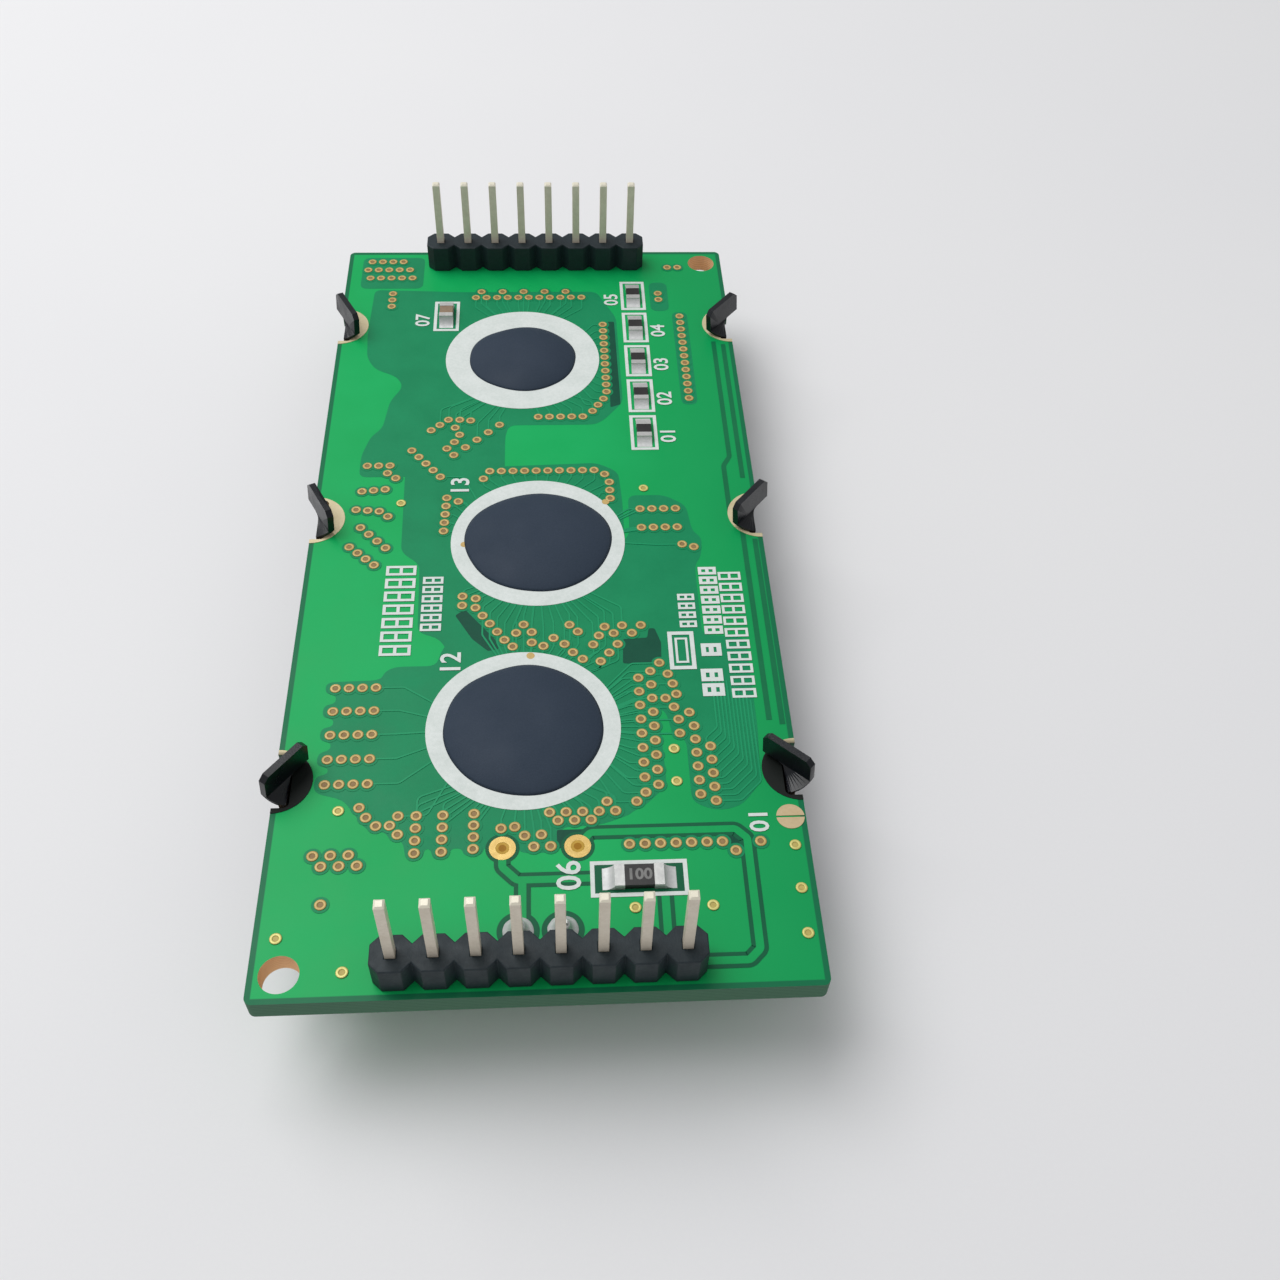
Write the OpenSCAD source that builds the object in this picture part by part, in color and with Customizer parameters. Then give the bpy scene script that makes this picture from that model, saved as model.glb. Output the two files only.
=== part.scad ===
// Character LCD module, lying on the front face of its bezel with the component side up.
// X runs across the board, Y runs along it from the near header to the far one, Z is up.
// The origin is the middle of the footprint, on the surface that the bezel rests on.

/* [Board] */
// Width of the circuit board
board_w = 35.5; // [34.5:0.5:42]
// Length of the circuit board
board_l = 77; // [77:0.5:90]
// Thickness of the circuit board
board_t = 1.6; // [1:0.1:2.4]
// Radius of the board's corners
board_corner_r = 0.5; // [0.2:0.1:1.2]
// Diameter of the two mounting holes, on opposite corners
mount_hole_d = 2.5; // [2:0.1:2.8]
// Distance from a mounting hole's centre to both edges of its corner
mount_inset = 1.9; // [1.7:0.1:2.4]
// Outer diameter of a via's gold ring
via_d = 0.8; // [0.6:0.05:0.8]
// Diameter of the hole in a via's gold ring
via_hole_d = 0.36; // [0.2:0.02:0.5]
// Thickness of the gold pads on the board
plate_t = 0.05; // [0.03:0.01:0.1]
// Thickness of the white printed lines and rings
ink_t = 0.05; // [0.03:0.01:0.1]

/* [Headers] */
// Number of pins in each header
pin_count = 8; // [4:1:10]
// Distance from one pin to the next
pin_pitch = 2.54; // [2, 2.54]
// Side of the square pins
pin_side = 0.64; // [0.5:0.02:0.7]
// Length of pin above the header body
pin_rise = 6; // [3:0.5:12]
// Length of pin below the board
pin_tail = 1.4; // [0.9:0.1:3]
// Bevel at both ends of a pin
pin_bevel = 0.12; // [0.05:0.01:0.2]
// Depth of a header body, along the board
header_d = 2.5; // [2.2:0.1:2.8]
// Height of a header body
header_h = 2.5; // [1.5:0.1:5]
// Chamfer on the corners of each header section
header_chamfer = 0.6; // [0.3:0.05:0.7]
// Distance from the near edge of the board to the near row of pins
near_header_inset = 1.8; // [1.6:0.1:2]
// Distance from the far edge of the board to the far row of pins
far_header_inset = 1.8; // [1.6:0.1:2]
// Diameter of the plated holes that the pins pass through
pin_hole_d = 1.02; // [1:0.02:1.2]
// Radius of the solder fillet round each pin, under the board
pin_fillet_r = 0.85; // [0.75:0.05:0.95]
// Height of the solder fillet round each pin
pin_fillet_h = 0.8; // [0.4:0.1:0.9]

/* [Bezel] */
// Distance from the side of the board to the outside of the bezel
side_setback = 0.5; // [0.4:0.1:1.4]
// Distance from the near edge of the board to the bezel
near_setback = 7.75; // [7:0.25:9]
// Distance from the far edge of the board to the bezel
far_setback = 3.25; // [3.25:0.25:5]
// Thickness of the bezel's steel sheet
sheet_t = 0.5; // [0.4:0.05:0.7]
// Inside radius of the bezel's folds
bend_r = 0.3; // [0.2:0.05:0.6]
// Width of the bezel's rim beside the window
rim_side = 4.75; // [3.5:0.25:6]
// Width of the bezel's rim at the ends of the window
rim_end = 4; // [3.5:0.25:8]
// Radius of the window's corners
window_corner_r = 0.6; // [0.3:0.1:2]
// Width of the tabs that lock the bezel to the board
tab_w = 4; // [3:0.25:4.5]
// Height of the tabs above the board
tab_rise = 2.6; // [2:0.1:3.5]
// Height over which a tab is twisted
tab_twist_h = 0.5; // [0.5:0.05:1.5]
// Angle that the near left tab is twisted through
near_left_twist = 37; // [10:1:46]
// Angle that the near right tab is twisted through
near_right_twist = 46; // [10:1:46]
// Angle that the two other left tabs are twisted through
left_twist = 28; // [10:1:46]
// Angle that the two other right tabs are twisted through
right_twist = 42; // [10:1:46]
// Angle at which the twisted part of a tab leans in over the board
tab_lean = 5; // [0:1:12]
// Distance from one tab to the next along the board
tab_pitch = 24.75; // [20:0.25:26]
// Gap between a tab and its notch in the board
notch_gap = 0.15; // [0.1:0.05:0.3]
// Radius of the gold pad round a notch, from the edge of the board
tab_pad_r = 2.55; // [2.4:0.05:2.7]

/* [Display cell] */
// Thickness of each glass plate
glass_t = 1.1; // [0.7:0.1:1.3]
// Thickness of each polariser film
polariser_t = 0.2; // [0.15:0.05:0.3]
// Gap between the glass plates, held by the edge seal
seal_t = 0.1; // [0.05:0.01:0.15]
// Width of the edge seal
seal_w = 1; // [0.6:0.1:1.6]
// Width of the contact ledge along each long side of the front glass
ledge_w = 2.6; // [2.2:0.1:3.2]
// Gap between the glass and the inside of the bezel
cell_gap = 0.3; // [0.2:0.05:0.5]
// Overlap of the front polariser behind the window's rim
polariser_lap = 1; // [0.6:0.1:1.4]
// Width of each rubber contact strip
strip_w = 1.8; // [1.4:0.1:2]
// Distance from the ends of the glass to the ends of the contact strips
strip_inset = 1; // [0.5:0.25:3]

/* [Backlight] */
// Depth of the space for the backlight, from the rear polariser to the board
backlight_t = 3.6; // [3:0.1:5]
// Gap between the backlight's tray and the board
tray_gap = 0.1; // [0.1:0.05:0.3]
// Thickness of the tray's rim
tray_wall = 0.8; // [0.6:0.1:1.2]
// Thickness of the clear light guide
guide_t = 2.2; // [1.6:0.1:2.4]
// Thickness of the diffuser film
diffuser_t = 0.2; // [0.1:0.05:0.3]
// Thickness of the reflector film
reflector_t = 0.15; // [0.1:0.05:0.3]
// Gap round the films and the light guide in the tray
film_gap = 0.1; // [0.05:0.05:0.2]
// Number of lamps at the near end of the light guide
lamp_count = 3; // [2:1:5]
// Width of a lamp
lamp_w = 2.8; // [2:0.1:3.2]
// Depth of a lamp, towards the light guide
lamp_d = 0.8; // [0.6:0.1:1]
// Thickness of the strip that carries the lamps
lamp_strip_t = 0.6; // [0.4:0.1:0.8]
// Length of the strip that carries the lamps
lamp_strip_l = 20; // [18:1:22]
// Distance between the backlight's two leads
lead_pitch = 2.8; // [2.4:0.1:4]
// Width of a lead
lead_w = 0.6; // [0.4:0.05:0.7]
// Thickness of a lead
lead_t = 0.3; // [0.2:0.05:0.4]
// Distance from the near edge of the board to the leads' holes
lead_inset = 4.3; // [4.2:0.1:5]
// Height of a lead above the board
lead_rise = 1.1; // [1:0.1:1.6]
// Diameter of the leads' plated holes
lead_hole_d = 1; // [0.9:0.05:1.2]
// Radius of the solder joint round a lead
lead_joint_r = 1; // [0.8:0.05:1.05]
// Height of the solder joint round a lead
lead_joint_h = 0.8; // [0.5:0.1:1]
// Gap between the leads and the slot in the bezel's near wall
lead_slot_gap = 0.8; // [0.4:0.1:1.5]

/* [Driver chips] */
// Outer radius of the white ring round each chip
ring_r = 6.8; // [6.2:0.1:6.8]
// Radius of the near epoxy cap
near_cap_r = 5.65; // [4.6:0.05:6]
// Radius of the middle epoxy cap
mid_cap_r = 5.8; // [4.6:0.05:6]
// Radius of the far epoxy cap
far_cap_r = 4.9; // [4.6:0.05:6]
// Height of the epoxy caps
cap_h = 1.1; // [0.8:0.1:1.5]
// Side of the square silicon chips under the caps
die_side = 3.4; // [2.5:0.1:4]
// Thickness of the silicon chips
die_t = 0.4; // [0.3:0.05:0.5]

/* [Small parts] */
// Length of the large chip resistor
big_chip_l = 3.2; // [3:0.1:3.4]
// Width of the large chip resistor
big_chip_w = 1.6; // [1.4:0.1:1.8]
// Length of the large resistor's metal ends, along the chip
big_end_l = 0.65; // [0.4:0.05:0.8]
// Length of the small chip parts
small_chip_l = 2; // [1.6:0.1:2.2]
// Width of the small chip parts
small_chip_w = 1.25; // [0.8:0.05:1.4]
// Height of the chip resistors
chip_h = 0.55; // [0.4:0.05:0.7]
// Height of the chip capacitor
capacitor_h = 0.85; // [0.6:0.05:1.2]
// Length of a small chip's metal ends, along the chip
small_end_l = 0.5; // [0.3:0.05:0.55]
// Thickness of a chip's metal end over its ceramic
chip_end_t = 0.03; // [0.02:0.01:0.05]
// Length of the solder fillet beyond a chip's end
chip_fillet_l = 0.8; // [0.4:0.1:0.9]
// Share of a chip's height that the solder climbs
chip_fillet_rise = 0.8; // [0.5:0.05:1]
// Distance from one small resistor to the next
resistor_pitch = 4.8; // [4.8:0.1:5.2]
// Number of small resistors in the column
resistor_count = 5; // [1:1:5]
// Width of the printed outlines' lines
outline_w = 0.28; // [0.15:0.01:0.3]
// Diameter of the two large plated holes' rings
eyelet_d = 1.75; // [1.5:0.05:1.9]
// Diameter of the bore in the large plated holes
eyelet_bore_d = 0.9; // [0.7:0.05:1.1]
// Wall of the plating in the large plated holes
eyelet_wall = 0.05; // [0.03:0.01:0.1]
// Distance between the two large plated holes
eyelet_pitch = 4.9; // [4.6:0.1:5]
// Diameter of the round jumper pad
jumper_d = 1.9; // [1.6:0.1:1.95]
// Gap across the middle of the jumper pad
jumper_gap = 0.14; // [0.1:0.02:0.3]

/* [Layout] */
// Distance from the near edge of the board to the near chip
near_chip_inset = 20; // [19.75:0.25:20]
// Distance from the middle line of the board to the near chip, to the left
near_chip_shift = 1.1; // [1:0.1:1.2]
// Distance from the middle of the board to the middle chip, towards the near edge
middle_chip_shift = 0.4; // [0.3:0.1:0.5]
// Distance from the far edge of the board to the far chip
far_chip_inset = 16.3; // [16.2:0.1:16.4]
// Distance from the middle line of the board to the far chip, to the left
far_chip_shift = 1.25; // [1.1:0.05:1.3]
// Distance from the near edge of the board to the large resistor
large_resistor_inset = 7.8; // [7.7:0.05:8]
// Distance from the middle line of the board to the large resistor, to the right
large_resistor_shift = 6.35; // [6.2:0.05:6.8]
// Distance from the far edge of the board to the first of the small resistors
small_resistor_inset = 26.3; // [25.8:0.1:28]
// Distance from the middle line of the board to the small resistors, to the right
small_resistor_shift = 9; // [8.6:0.1:9.8]
// Distance from the far edge of the board to the capacitor
capacitor_inset = 10.1; // [9.9:0.1:10.3]
// Distance from the middle line of the board to the capacitor, to the left
capacitor_shift = 8.2; // [8.1:0.1:9]
// Distance from the near edge of the board to the large plated holes
eyelet_inset = 10.3; // [10.2:0.05:10.4]
// Distance from the side of the board to the jumper pad
jumper_inset = 1.05; // [1:0.05:1.2]
// Distance along the board from the near tab to the jumper pad
jumper_from_tab = 3.85; // [3.7:0.05:4]

/* [Hidden] */
$fn = 48;
// Length added to a cutter so that it passes right through
through = 0.5;

// Heights, from the bezel's front face up to the component side of the board
front_polariser_z = sheet_t;
front_glass_z = front_polariser_z + polariser_t;
seal_z = front_glass_z + glass_t;
rear_glass_z = seal_z + seal_t;
rear_polariser_z = rear_glass_z + glass_t;
backlight_z = rear_polariser_z + polariser_t;
guide_z = backlight_z + diffuser_t;
reflector_z = guide_z + guide_t;
board_z = backlight_z + backlight_t;
top_z = board_z + board_t;
tray_top_z = board_z - tray_gap;
lead_z = guide_z + guide_t / 2;

// Bezel
bezel_w = board_w - 2 * side_setback;
bezel_l = board_l - near_setback - far_setback;
bezel_y = (near_setback - far_setback) / 2;
fold_r = bend_r + sheet_t;
window_w = bezel_w - 2 * rim_side;
window_l = bezel_l - 2 * rim_end;
wall_x = bezel_w / 2 - sheet_t / 2;
near_wall_y = bezel_y - bezel_l / 2 + sheet_t / 2;
// Height of a tab's straight part above the gold pads, and how deep in it the twist starts
tab_root = 0.12;
tab_dip = 0.06;
twist_z = top_z + plate_t + tab_root;
tab_twists = [[near_right_twist, right_twist, right_twist], [near_left_twist, left_twist, left_twist]];
tab_head_h = tab_rise - plate_t - tab_root - tab_twist_h;
notch_w = tab_w + 2 * notch_gap;
notch_depth = side_setback + sheet_t + notch_gap;
notch_corner_r = 0.4;

// Display cell, centred in the bezel
glass_w = bezel_w - 2 * (sheet_t + cell_gap);
glass_l = bezel_l - 2 * (sheet_t + cell_gap);
rear_glass_w = glass_w - 2 * ledge_w;
strip_x = (glass_w - ledge_w) / 2;
strip_l = glass_l - 2 * strip_inset;

// Backlight, as wide as the rear glass
tray_w = rear_glass_w;
tray_l = glass_l;
film_w = tray_w - 2 * (tray_wall + film_gap);
film_l = tray_l - 2 * (tray_wall + film_gap);
tray_near_y = bezel_y - tray_l / 2;
lamp_strip_y = tray_near_y + tray_wall;
lamp_y = lamp_strip_y + lamp_strip_t;
guide_near_y = lamp_y + lamp_d + film_gap;
guide_far_y = bezel_y + tray_l / 2 - tray_wall - film_gap;
lamp_h = guide_t * 0.6;
lead_y = -board_l / 2 + lead_inset;
slot_w = lead_pitch + lead_w + 2 * lead_slot_gap;

// Headers
near_header_y = -board_l / 2 + near_header_inset;
far_header_y = board_l / 2 - far_header_inset;
header_l = pin_count * pin_pitch;
pin_top_z = top_z + header_h + pin_rise;
pin_low_z = board_z - pin_tail;

// Driver chips: centre of each chip on the board, and the radius of its epoxy cap
near_chip = [-near_chip_shift, -board_l / 2 + near_chip_inset];
middle_chip = [0, -middle_chip_shift];
far_chip = [-far_chip_shift, board_l / 2 - far_chip_inset];
chips = [[near_chip, near_cap_r], [middle_chip, mid_cap_r], [far_chip, far_cap_r]];

// Small parts: centres on the board
large_resistor_at = [large_resistor_shift, -board_l / 2 + large_resistor_inset];
small_resistor_at = [small_resistor_shift, board_l / 2 - small_resistor_inset];
capacitor_at = [-capacitor_shift, board_l / 2 - capacitor_inset];
eyelet_y = -board_l / 2 + eyelet_inset;
eyelet_hole_d = eyelet_bore_d + 2 * eyelet_wall;
jumper_at = [board_w / 2 - jumper_inset, bezel_y - tab_pitch - jumper_from_tab];
outline_margin = [0.75, 0.52];

// Rows of vias, each [x, y, step in x, step in y, number of vias].
// x and y start at the edge, corner or middle line that the list's name gives.
near_left_vias = [
    [1.45, 4.3, 0, 0, 1], [5.7, 1.9, 0, 0, 1], [3.95, 6.55, 0, 0, 1], [4.45, 13.5, 0, 0, 1],
    [3.7, 9.3, 1.15, 0, 3], [3.1, 10.1, 1.15, 0, 3],
    for (k = [0:4]) [3.35, 15.6 + 2.05 * k, 0.95, 0, 4],
    [5.8, 13.7, 0.5, -0.78, 2], [7, 12.25, 0.9, 0, 2], [8.4, 12.97, 0.05, -1.42, 2]
];
near_vias = [
    [-8.15, 10.1, 0, 0.95, 4], [-6.4, 10.15, 0, 0.93, 4], [-4.35, 10.3, 0, 0.9, 4],
    [-2.55, 11.8, 0.9, 0.1, 2], [-1, 11.2, 0.6, -0.85, 2], [0.1, 11.25, 0.6, -0.9, 2],
    [1.2, 12.3, 1.1, 0, 3], [0.65, 12.95, 1.1, 0, 5], [4.5, 13.7, 0, 0, 1],
    [5.85, 10.35, 1.02, 0, 7], [12.8, 9.65, 0, 0, 1], [6, 5.7, 4.95, 0, 2],
    [6.5, 13.65, 0, 0, 1], [7.15, 14.35, 0, 1.23, 9], [8.05, 14.95, 0, 1.23, 9],
    [8.75, 25.55, 0, 0, 1], [9.3, 15.2, 0, 2.7, 2],
    [10.85, 14.1, 0, 1.14, 6], [11.85, 13.55, 0, 1.12, 5], [9.8, 19.2, 0, 1.2, 2],
    [9.55, 21.5, 1.05, -0.5, 2], [9, 22.3, 0.8, 0.35, 2], [9.6, 23.6, -0.3, 0.9, 2],
    [-5.7, 31.45, 0, 0.92, 2], [-4.7, 31.2, 0, 0.92, 2], [-4.15, 30.4, 0.55, -0.8, 4],
    [-1.9, 27.35, 0, 0, 1], [-1.65, 28.65, 0.55, 0.8, 2], [-0.5, 28.7, 0, -1, 2],
    [0.35, 27.35, 0.75, 0.75, 2], [1.9, 27.5, 0.6, -0.8, 2], [3.2, 26.05, 0, 0, 1],
    [2.3, 29.35, 0.6, -0.68, 2], [4, 27.4, 0.45, 0.85, 3], [4.5, 25.8, 0.65, 0.8, 3],
    [5.55, 28.45, 1.35, 0, 2], [6.2, 29.2, 1.4, 0, 2]
];
near_right_vias = [[-1, 3.55, 0, 3.2, 3], [-3.25, 10.3, 0, 0, 1]];
middle_left_vias = [
    [3.15, -0.8, 0.68, -0.65, 4], [3.85, 1.3, 0.7, -0.75, 4], [3.35, 3.3, 0.92, -0.1, 3],
    [5.9, 2.5, 0, 0, 1], [3.65, 5.4, 0.92, 0.1, 3], [6.85, 4, 0, 0, 1],
    [3.85, 8.4, 0.92, 0, 3], [5.55, 7.5, 0.7, -0.6, 2]
];
middle_vias = [
    [-7.4, 0.8, 0.03, 0.93, 5], [-6.35, 4.1, 0, 0, 1], [-3.9, 7.6, 0.95, 0, 10],
    [-4.4, 6.7, 0, 0, 1], [5.85, 4.25, 0, 0.95, 3], [5.5, 7.1, 0, 0, 1],
    [8.2, 0.9, 0.95, 0, 4], [8.2, 3, 0.95, 0, 4], [8.6, 5.4, 0, 0, 1], [11.3, -1, 0.9, -0.3, 2],
    [-7.9, 7, -0.62, 0.8, 5], [-6.9, 9.6, 0.93, 0.93, 5], [-7.5, 10.4, 0.6, 0.8, 2],
    [-6.5, 12.1, -0.4, 0.9, 2], [-8.9, 12.7, 0.7, 0.66, 3], [-6.55, 14, 0.92, -0.1, 2]
];
far_left_vias = [
    [2.2, -1.6, 0.98, 0, 4], [1.9, -2.9, 0.98, 0, 5], [2.2, -4.2, 0.98, 0, 5],
    [4.45, -8.6, 0, 0.97, 3]
];
far_vias = [
    [0.1, -24.2, 0.95, 0, 5], [4.75, -23.5, 0.5, 0.8, 3], [6.05, -20.95, 0, 0.95, 11],
    [-5.6, -7.3, 0.98, 0, 11], [-5.1, -6.4, 1.96, 0, 5]
];
far_right_vias = [[-4.55, -21.9, 0, 0.97, 13], [-6.35, -7.7, 0, 0.95, 2], [-5.2, -2.6, 0.98, 0, 2]];

// Plate with rounded corners, centred, as a flat outline
module rounded_plate(w, l, r) {
    square([w - 2 * r, l], center = true);
    square([w, l - 2 * r], center = true);
    for (x = [-1, 1], y = [-1, 1])
        translate([x * (w / 2 - r), y * (l / 2 - r)]) circle(r);
}

// Flat bar of thickness t, centred, with its lower face at height z
module layer(w, l, t, z) {
    translate([-w / 2, bezel_y - l / 2, z]) cube([w, l, t]);
}

// Thin frame, as a flat outline, with its line inside the given size
module frame_outline(w, l, line) {
    difference() {
        square([w, l], center = true);
        square([w - 2 * line, l - 2 * line], center = true);
    }
}

// Section of one folded edge of the bezel: the bend, then the wall up to height h
module fold_section(h) {
    translate([-fold_r, fold_r]) intersection() {
        difference() {
            circle(fold_r);
            circle(bend_r);
        }
        translate([0, -fold_r]) square(fold_r);
    }
    translate([-sheet_t, fold_r]) square([sheet_t, h - fold_r]);
}

// One folded edge of the bezel, with its outer face at x = reach and its length along Y
module folded_edge(reach, length) {
    translate([reach, length / 2, 0]) rotate([90, 0, 0])
        linear_extrude(length) fold_section(board_z);
}

// Locking tab on the right wall, centred on Y = 0: straight through the notch, then twisted
// and leaning in over the board. A positive angle turns the tab's far edge inwards.
module locking_tab(angle) {
    translate([wall_x, 0, 0]) {
        translate([-sheet_t / 2, -tab_w / 2, board_z - sheet_t])
            cube([sheet_t, tab_w, twist_z - board_z + sheet_t]);
        translate([0, 0, twist_z - tab_dip]) rotate([0, -tab_lean, 0]) {
            linear_extrude(tab_twist_h, twist = -angle, slices = 6, segments = 8)
                square([sheet_t, tab_w], center = true);
            translate([0, 0, tab_twist_h]) rotate([90, 0, 90 + angle])
                translate([0, 0, -sheet_t / 2])
                    linear_extrude(sheet_t) tab_head(tab_head_h);
        }
    }
}

// Head of a locking tab, as a flat outline with bevelled top corners
module tab_head(h) {
    bevel = 0.4;
    polygon([
        [-tab_w / 2, 0], [tab_w / 2, 0], [tab_w / 2, h - bevel], [tab_w / 2 - bevel, h],
        [bevel - tab_w / 2, h], [-tab_w / 2, h - bevel]
    ]);
}

module bezel() {
    color("#2b2d31") {
        difference() {
            union() {
                translate([0, bezel_y, 0]) linear_extrude(sheet_t) difference() {
                    square([bezel_w - 2 * fold_r, bezel_l - 2 * fold_r], center = true);
                    rounded_plate(window_w, window_l, window_corner_r);
                }
                for (side = [0, 1]) translate([0, bezel_y, 0]) mirror([side, 0, 0])
                    folded_edge(bezel_w / 2, bezel_l - 2 * fold_r);
                for (end = [-1, 1]) translate([0, bezel_y, 0]) rotate([0, 0, end * 90])
                    folded_edge(bezel_l / 2, bezel_w - 2 * fold_r);
            }
            translate([-slot_w / 2, near_wall_y - sheet_t, lead_z - lead_slot_gap])
                cube([slot_w, 2 * sheet_t, board_z - lead_z + lead_slot_gap + through]);
        }
        for (side = [0, 1], k = [0:2]) translate([0, bezel_y + (k - 1) * tab_pitch, 0])
            mirror([side, 0, 0]) locking_tab((k == 0 ? 1 : -1) * tab_twists[side][k]);
    }
}

module front_polariser() {
    color("#1d2c6b") layer(window_w + 2 * polariser_lap, window_l + 2 * polariser_lap,
                           polariser_t, front_polariser_z);
}

module front_glass() {
    color("#9fb6c6") layer(glass_w, glass_l, glass_t, front_glass_z);
}

module cell_seal() {
    color("#d8d4c0") translate([0, bezel_y, seal_z])
        linear_extrude(seal_t) frame_outline(rear_glass_w, glass_l, seal_w);
}

module rear_glass() {
    color("#8fa9bb") layer(rear_glass_w, glass_l, glass_t, rear_glass_z);
}

module rear_polariser() {
    color("#26387a") layer(rear_glass_w - 2 * seal_w, glass_l - 2 * seal_w,
                           polariser_t, rear_polariser_z);
}

module contact_strip(side) {
    color("#d9a7a0") translate([side * strip_x - strip_w / 2, bezel_y - strip_l / 2, seal_z])
        cube([strip_w, strip_l, board_z - seal_z]);
}

module left_contact_strip() contact_strip(-1);

module right_contact_strip() contact_strip(1);

module backlight_tray() {
    color("#f2f1ea") difference() {
        layer(tray_w, tray_l, tray_top_z - rear_polariser_z, rear_polariser_z);
        layer(tray_w - 2 * tray_wall, tray_l - 2 * tray_wall,
              reflector_z + reflector_t - rear_polariser_z + through, rear_polariser_z - through);
        for (side = [-1, 1])
            translate([side * lead_pitch / 2 - lead_w / 2, tray_near_y - through, lead_z - lead_t / 2])
                cube([lead_w, tray_wall + 2 * through, lead_t]);
    }
}

// Plate in the tray, from the near end of the light guide to its far end
module guide_plate(t, z) {
    translate([-film_w / 2, guide_near_y, z]) cube([film_w, guide_far_y - guide_near_y, t]);
}

module diffuser_film() {
    color("#e9edf0") layer(film_w, film_l, diffuser_t, backlight_z);
}

module light_guide() {
    color("#dfeaf0") guide_plate(guide_t, guide_z);
}

module reflector_film() {
    color("#fbfbf7") layer(film_w, film_l, reflector_t, reflector_z);
}

module lamp_strip() {
    color("#c9b06a") translate([-lamp_strip_l / 2, lamp_strip_y, guide_z])
        cube([lamp_strip_l, lamp_strip_t, guide_t]);
}

module lamps() {
    spacing = lamp_strip_l / lamp_count;
    color("#f6e98f") for (k = [0:lamp_count - 1])
        translate([(k - (lamp_count - 1) / 2) * spacing - lamp_w / 2, lamp_y, lead_z - lamp_h / 2])
            cube([lamp_w, lamp_d, lamp_h]);
}

// Two flat leads: out of the tray, under the near header, and up through the board
module backlight_leads() {
    run = lamp_strip_y - lead_y;
    rise = top_z + lead_rise - lead_z;
    half = lead_t / 2;
    color("#c3c6c8") for (side = [-1, 1])
        translate([side * lead_pitch / 2 - lead_w / 2, lead_y, lead_z])
            rotate([90, 0, 90]) linear_extrude(lead_w)
                polygon([[-half, -half], [run, -half], [run, half], [half, half],
                         [half, rise], [-half, rise]]);
}

// Soldered joint of a lead: a low cone on the board and the filled hole below it
module lead_joints() {
    color("#c9ccd0") for (side = [-1, 1]) translate([side * lead_pitch / 2, lead_y, board_z]) difference() {
        union() {
            cylinder(h = board_t, d = lead_hole_d);
            translate([0, 0, board_t])
                cylinder(h = lead_joint_h, r1 = lead_joint_r, r2 = lead_w / 2 + 0.15);
        }
        translate([-lead_w / 2, -lead_t / 2, -through])
            cube([lead_w, lead_t, board_t + lead_joint_h + 2 * through]);
    }
}

// Places a child at every pin of a header
module at_pins(y) {
    for (k = [0:pin_count - 1])
        translate([(k - (pin_count - 1) / 2) * pin_pitch, y, 0]) children();
}

// Notch in the edge of the board for one tab, as a flat outline on the right side
module notch_outline() {
    inner_x = board_w / 2 - notch_depth;
    r = notch_corner_r;
    translate([inner_x + r, -notch_w / 2]) square([notch_depth + through, notch_w]);
    translate([inner_x, r - notch_w / 2]) square([2 * r, notch_w - 2 * r]);
    for (y = [-1, 1]) translate([inner_x + r, y * (notch_w / 2 - r)]) circle(r);
}

// Places a child at each of the six tabs, mirrored on the left side
module at_tabs() {
    for (side = [0, 1], k = [-1:1])
        translate([0, bezel_y + k * tab_pitch]) mirror([side, 0, 0]) children();
}

module board() {
    color("#1f9f5c") translate([0, 0, board_z]) difference() {
        linear_extrude(board_t) difference() {
            rounded_plate(board_w, board_l, board_corner_r);
            at_tabs() notch_outline();
        }
        for (corner = [-1, 1])
            translate([corner * (board_w / 2 - mount_inset), corner * (board_l / 2 - mount_inset), -through])
                cylinder(h = board_t + 2 * through, d = mount_hole_d);
        for (y = [near_header_y, far_header_y]) at_pins(y)
            translate([0, 0, -through]) cylinder(h = board_t + 2 * through, d = pin_hole_d);
        for (side = [-1, 1]) {
            translate([side * lead_pitch / 2, lead_y, -through])
                cylinder(h = board_t + 2 * through, d = lead_hole_d);
            translate([side * eyelet_pitch / 2, eyelet_y, -through])
                cylinder(h = board_t + 2 * through, d = eyelet_hole_d);
        }
    }
}

// Rings of the vias in one list, measured from the point [x, y] of the board
module via_group(x, y, rows) {
    for (row = rows, k = [0:row[4] - 1])
        translate([x + row[0] + k * row[2], y + row[1] + k * row[3], top_z])
            linear_extrude(plate_t) difference() {
                circle(d = via_d);
                circle(d = via_hole_d);
            }
}

module vias() {
    color("#c8a765") {
        via_group(-board_w / 2, -board_l / 2, near_left_vias);
        via_group(0, -board_l / 2, near_vias);
        via_group(board_w / 2, -board_l / 2, near_right_vias);
        via_group(-board_w / 2, 0, middle_left_vias);
        via_group(0, 0, middle_vias);
        via_group(-board_w / 2, board_l / 2, far_left_vias);
        via_group(0, board_l / 2, far_vias);
        via_group(board_w / 2, board_l / 2, far_right_vias);
    }
}

// Large plated holes: a tube through the board with a flat ring on both sides
module eyelets() {
    color("#e0b862") for (side = [-1, 1])
        translate([side * eyelet_pitch / 2, eyelet_y, board_z]) difference() {
            union() {
                cylinder(h = board_t, d = eyelet_hole_d);
                translate([0, 0, board_t]) cylinder(h = plate_t, d = eyelet_d);
                translate([0, 0, -plate_t]) cylinder(h = plate_t, d = eyelet_d);
            }
            translate([0, 0, -through]) cylinder(h = board_t + 2 * through, d = eyelet_bore_d);
        }
}

// Gold pads on the edge of the board, round the notches of the tabs
module tab_pads() {
    color("#cdb27a") translate([0, 0, top_z]) linear_extrude(plate_t) at_tabs() difference() {
        intersection() {
            translate([board_w / 2, 0]) circle(tab_pad_r);
            translate([0, -tab_pad_r]) square([board_w / 2, 2 * tab_pad_r]);
        }
        notch_outline();
    }
}

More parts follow.
